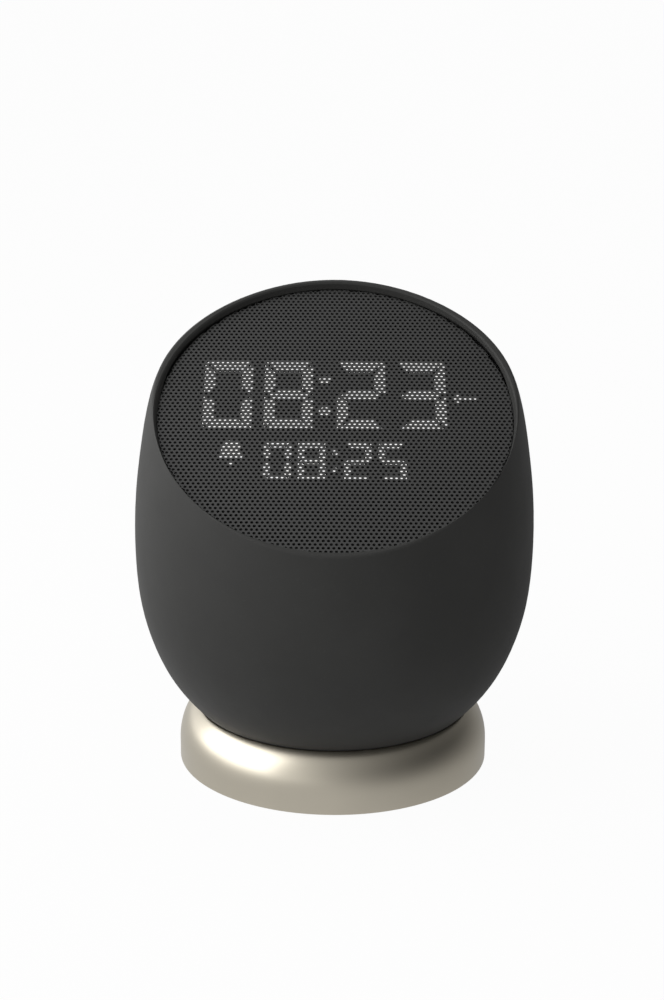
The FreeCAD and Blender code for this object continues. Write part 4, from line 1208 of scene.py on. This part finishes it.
@dataclass(frozen=True)
class Lamp:
    """One soft lamp."""

    name: str
    place: Triple
    size: tuple[float, float]
    power: float
    target: Triple = (0.0, 0.0, 0.07)

    def build(self) -> None:
        """Adds the lamp, aimed at its target."""
        data = bpy.data.lights.new(self.name, "AREA")
        data.shape = "RECTANGLE"
        data.size, data.size_y = self.size
        data.energy = self.power
        lamp = bpy.data.objects.new(self.name, data)
        lamp.location = self.place
        aim = Vector(self.target) - Vector(self.place)
        lamp.rotation_euler = aim.to_track_quat("-Z", "Y").to_euler()
        bpy.context.scene.collection.objects.link(lamp)


@dataclass(frozen=True)
class Studio:
    """Camera, lamps, pale floor and white surroundings."""

    lens: float = 72.37
    sensor: float = 36.0
    clip: tuple[float, float] = (0.01, 50.0)
    elevation: float = 0.2977
    azimuth: float = -0.0028
    roll: float = 0.0070
    distance: float = 597.7 * MM
    aside: float = -0.21 * MM
    upward: float = 73.9 * MM
    ambient_low: float = 0.41
    ambient_change: float = 0.44
    backdrop_low: float = 0.055
    backdrop_slope: float = 0.60
    backdrop_key: float = 0.90
    horizon_glow: float = 0.11
    horizon_height: float = 0.3
    floor_size: float = 24.0
    floor_white_share: float = 0.96
    floor_gloss_share: float = 0.90
    floor_gloss_level: float = 0.72
    floor_gloss_reach: float = 50.0 * MM
    floor_level: float = 0.72
    lamps: tuple[Lamp, ...] = (
        Lamp("key", place=(-0.59, -0.12, 0.34), size=(0.88, 0.55), power=2.5),
        Lamp("top", place=(-0.22, -0.05, 0.58), size=(0.36, 0.36), power=0.40),
    )

    def camera(self) -> None:
        """Sets the camera at the photograph's viewing angle."""
        turn, rise = self.azimuth, self.elevation
        right = Vector((math.cos(turn), math.sin(turn), 0.0))
        ahead = Vector((-math.sin(turn) * math.cos(rise), math.cos(turn) * math.cos(rise),
                        -math.sin(rise)))
        above = right.cross(ahead)
        across = math.cos(self.roll) * right + math.sin(self.roll) * above
        upright = -math.sin(self.roll) * right + math.cos(self.roll) * above
        place = -ahead * self.distance + across * self.aside + upright * self.upward
        data = bpy.data.cameras.new("camera")
        data.lens = self.lens
        data.sensor_width = self.sensor
        data.clip_start, data.clip_end = self.clip
        camera = bpy.data.objects.new("camera", data)
        axes = Matrix((across, upright, -ahead)).transposed()
        camera.matrix_world = Matrix.Translation(place) @ axes.to_4x4()
        bpy.context.scene.collection.objects.link(camera)
        bpy.context.scene.camera = camera

    def _backdrop(self, across: Value) -> Value:
        """Gives the brightness that glossy rays see, without the glow at the horizon.

        Args:
            across: The direction's X, -1 toward the key lamp.

        Returns:
            The brightness, falling away from the key lamp.
        """
        toward_key = (1 - across) * 0.5
        slope = toward_key * toward_key * self.backdrop_key + self.backdrop_slope
        return toward_key * slope + self.backdrop_low

    def floor(self) -> None:
        """Adds the pale floor, which glossy rays see brightest near the object."""
        half = self.floor_size / 2
        mesh = bpy.data.meshes.new("floor")
        corners = [(-half, -half, 0), (half, -half, 0), (half, half, 0), (-half, half, 0)]
        mesh.from_pydata(corners, [], [(0, 1, 2, 3)])
        floor = bpy.data.objects.new("floor", mesh)
        graph = Graph.paint("floor_paint")
        camera, glossy = graph.ray("Camera"), graph.ray("Glossy")
        level = self.floor_level
        pale = graph.add("ShaderNodeBsdfDiffuse", {"Color": (level, level, level, 1.0)})
        x, y, _ = graph.spot()
        distance = off_axis(x, y)
        far = self._backdrop((x + abs(x)) * 0.5 / distance) + self.horizon_glow
        near = 1 / (1 + (distance / self.floor_gloss_reach) ** 2)
        strength = 1 + glossy * (far + near * (self.floor_gloss_level - far) - 1)
        white = graph.add("ShaderNodeEmission", {"Color": WHITE, "Strength": strength})
        share = camera * self.floor_white_share + glossy * self.floor_gloss_share
        mixed = graph.add("ShaderNodeMixShader", {0: share, 1: pale, 2: white})
        graph.node("ShaderNodeOutputMaterial", {"Surface": mixed})
        mesh.materials.append(graph.owner)
        bpy.context.scene.collection.objects.link(floor)

    def surroundings(self) -> None:
        """Makes the world white to the camera.

        Glossy rays see the backdrop and a glow along the horizon. All other rays see a soft
        light that is stronger on the key lamp's side.
        """
        world = bpy.data.worlds.new("studio")
        graph = Graph(world)
        seen = graph.ray("Camera") + graph.ray("Transmission")
        glossy = graph.ray("Glossy")
        across, _, rise = graph.axes(graph.add("ShaderNodeTexCoord", output="Generated"))
        glow = (1 - rise.ramp(0.0, self.horizon_height)) * self.horizon_glow
        backdrop = self._backdrop(across) + glow
        ambient = (1 - across) * 0.5 * self.ambient_change + self.ambient_low
        level = seen + (1 - seen) * (glossy * backdrop + (1 - glossy) * ambient)
        sky = graph.add("ShaderNodeBackground", {"Color": WHITE, "Strength": level})
        graph.node("ShaderNodeOutputWorld", {"Surface": sky})
        bpy.context.scene.world = world

    def build(self) -> None:
        """Sets up the whole studio."""
        self.camera()
        self.surroundings()
        self.floor()
        for lamp in self.lamps:
            lamp.build()
        bpy.context.scene.view_settings.view_transform = "Standard"
        log.info("studio is set")


def main() -> None:
    """Builds the studio and every part of the clock."""
    logging.basicConfig(level=logging.INFO, format="%(message)s")
    Studio().build()
    parts = (Body(), PerforatedGrille(), Display(), LoudspeakerDriver(), ControlPanel(),
             PowerAndBoards(), SwivelBase())
    for part in parts:
        part.build()
        log.info("finished %s", type(part).__name__)


if __name__ == "__main__":
    main()
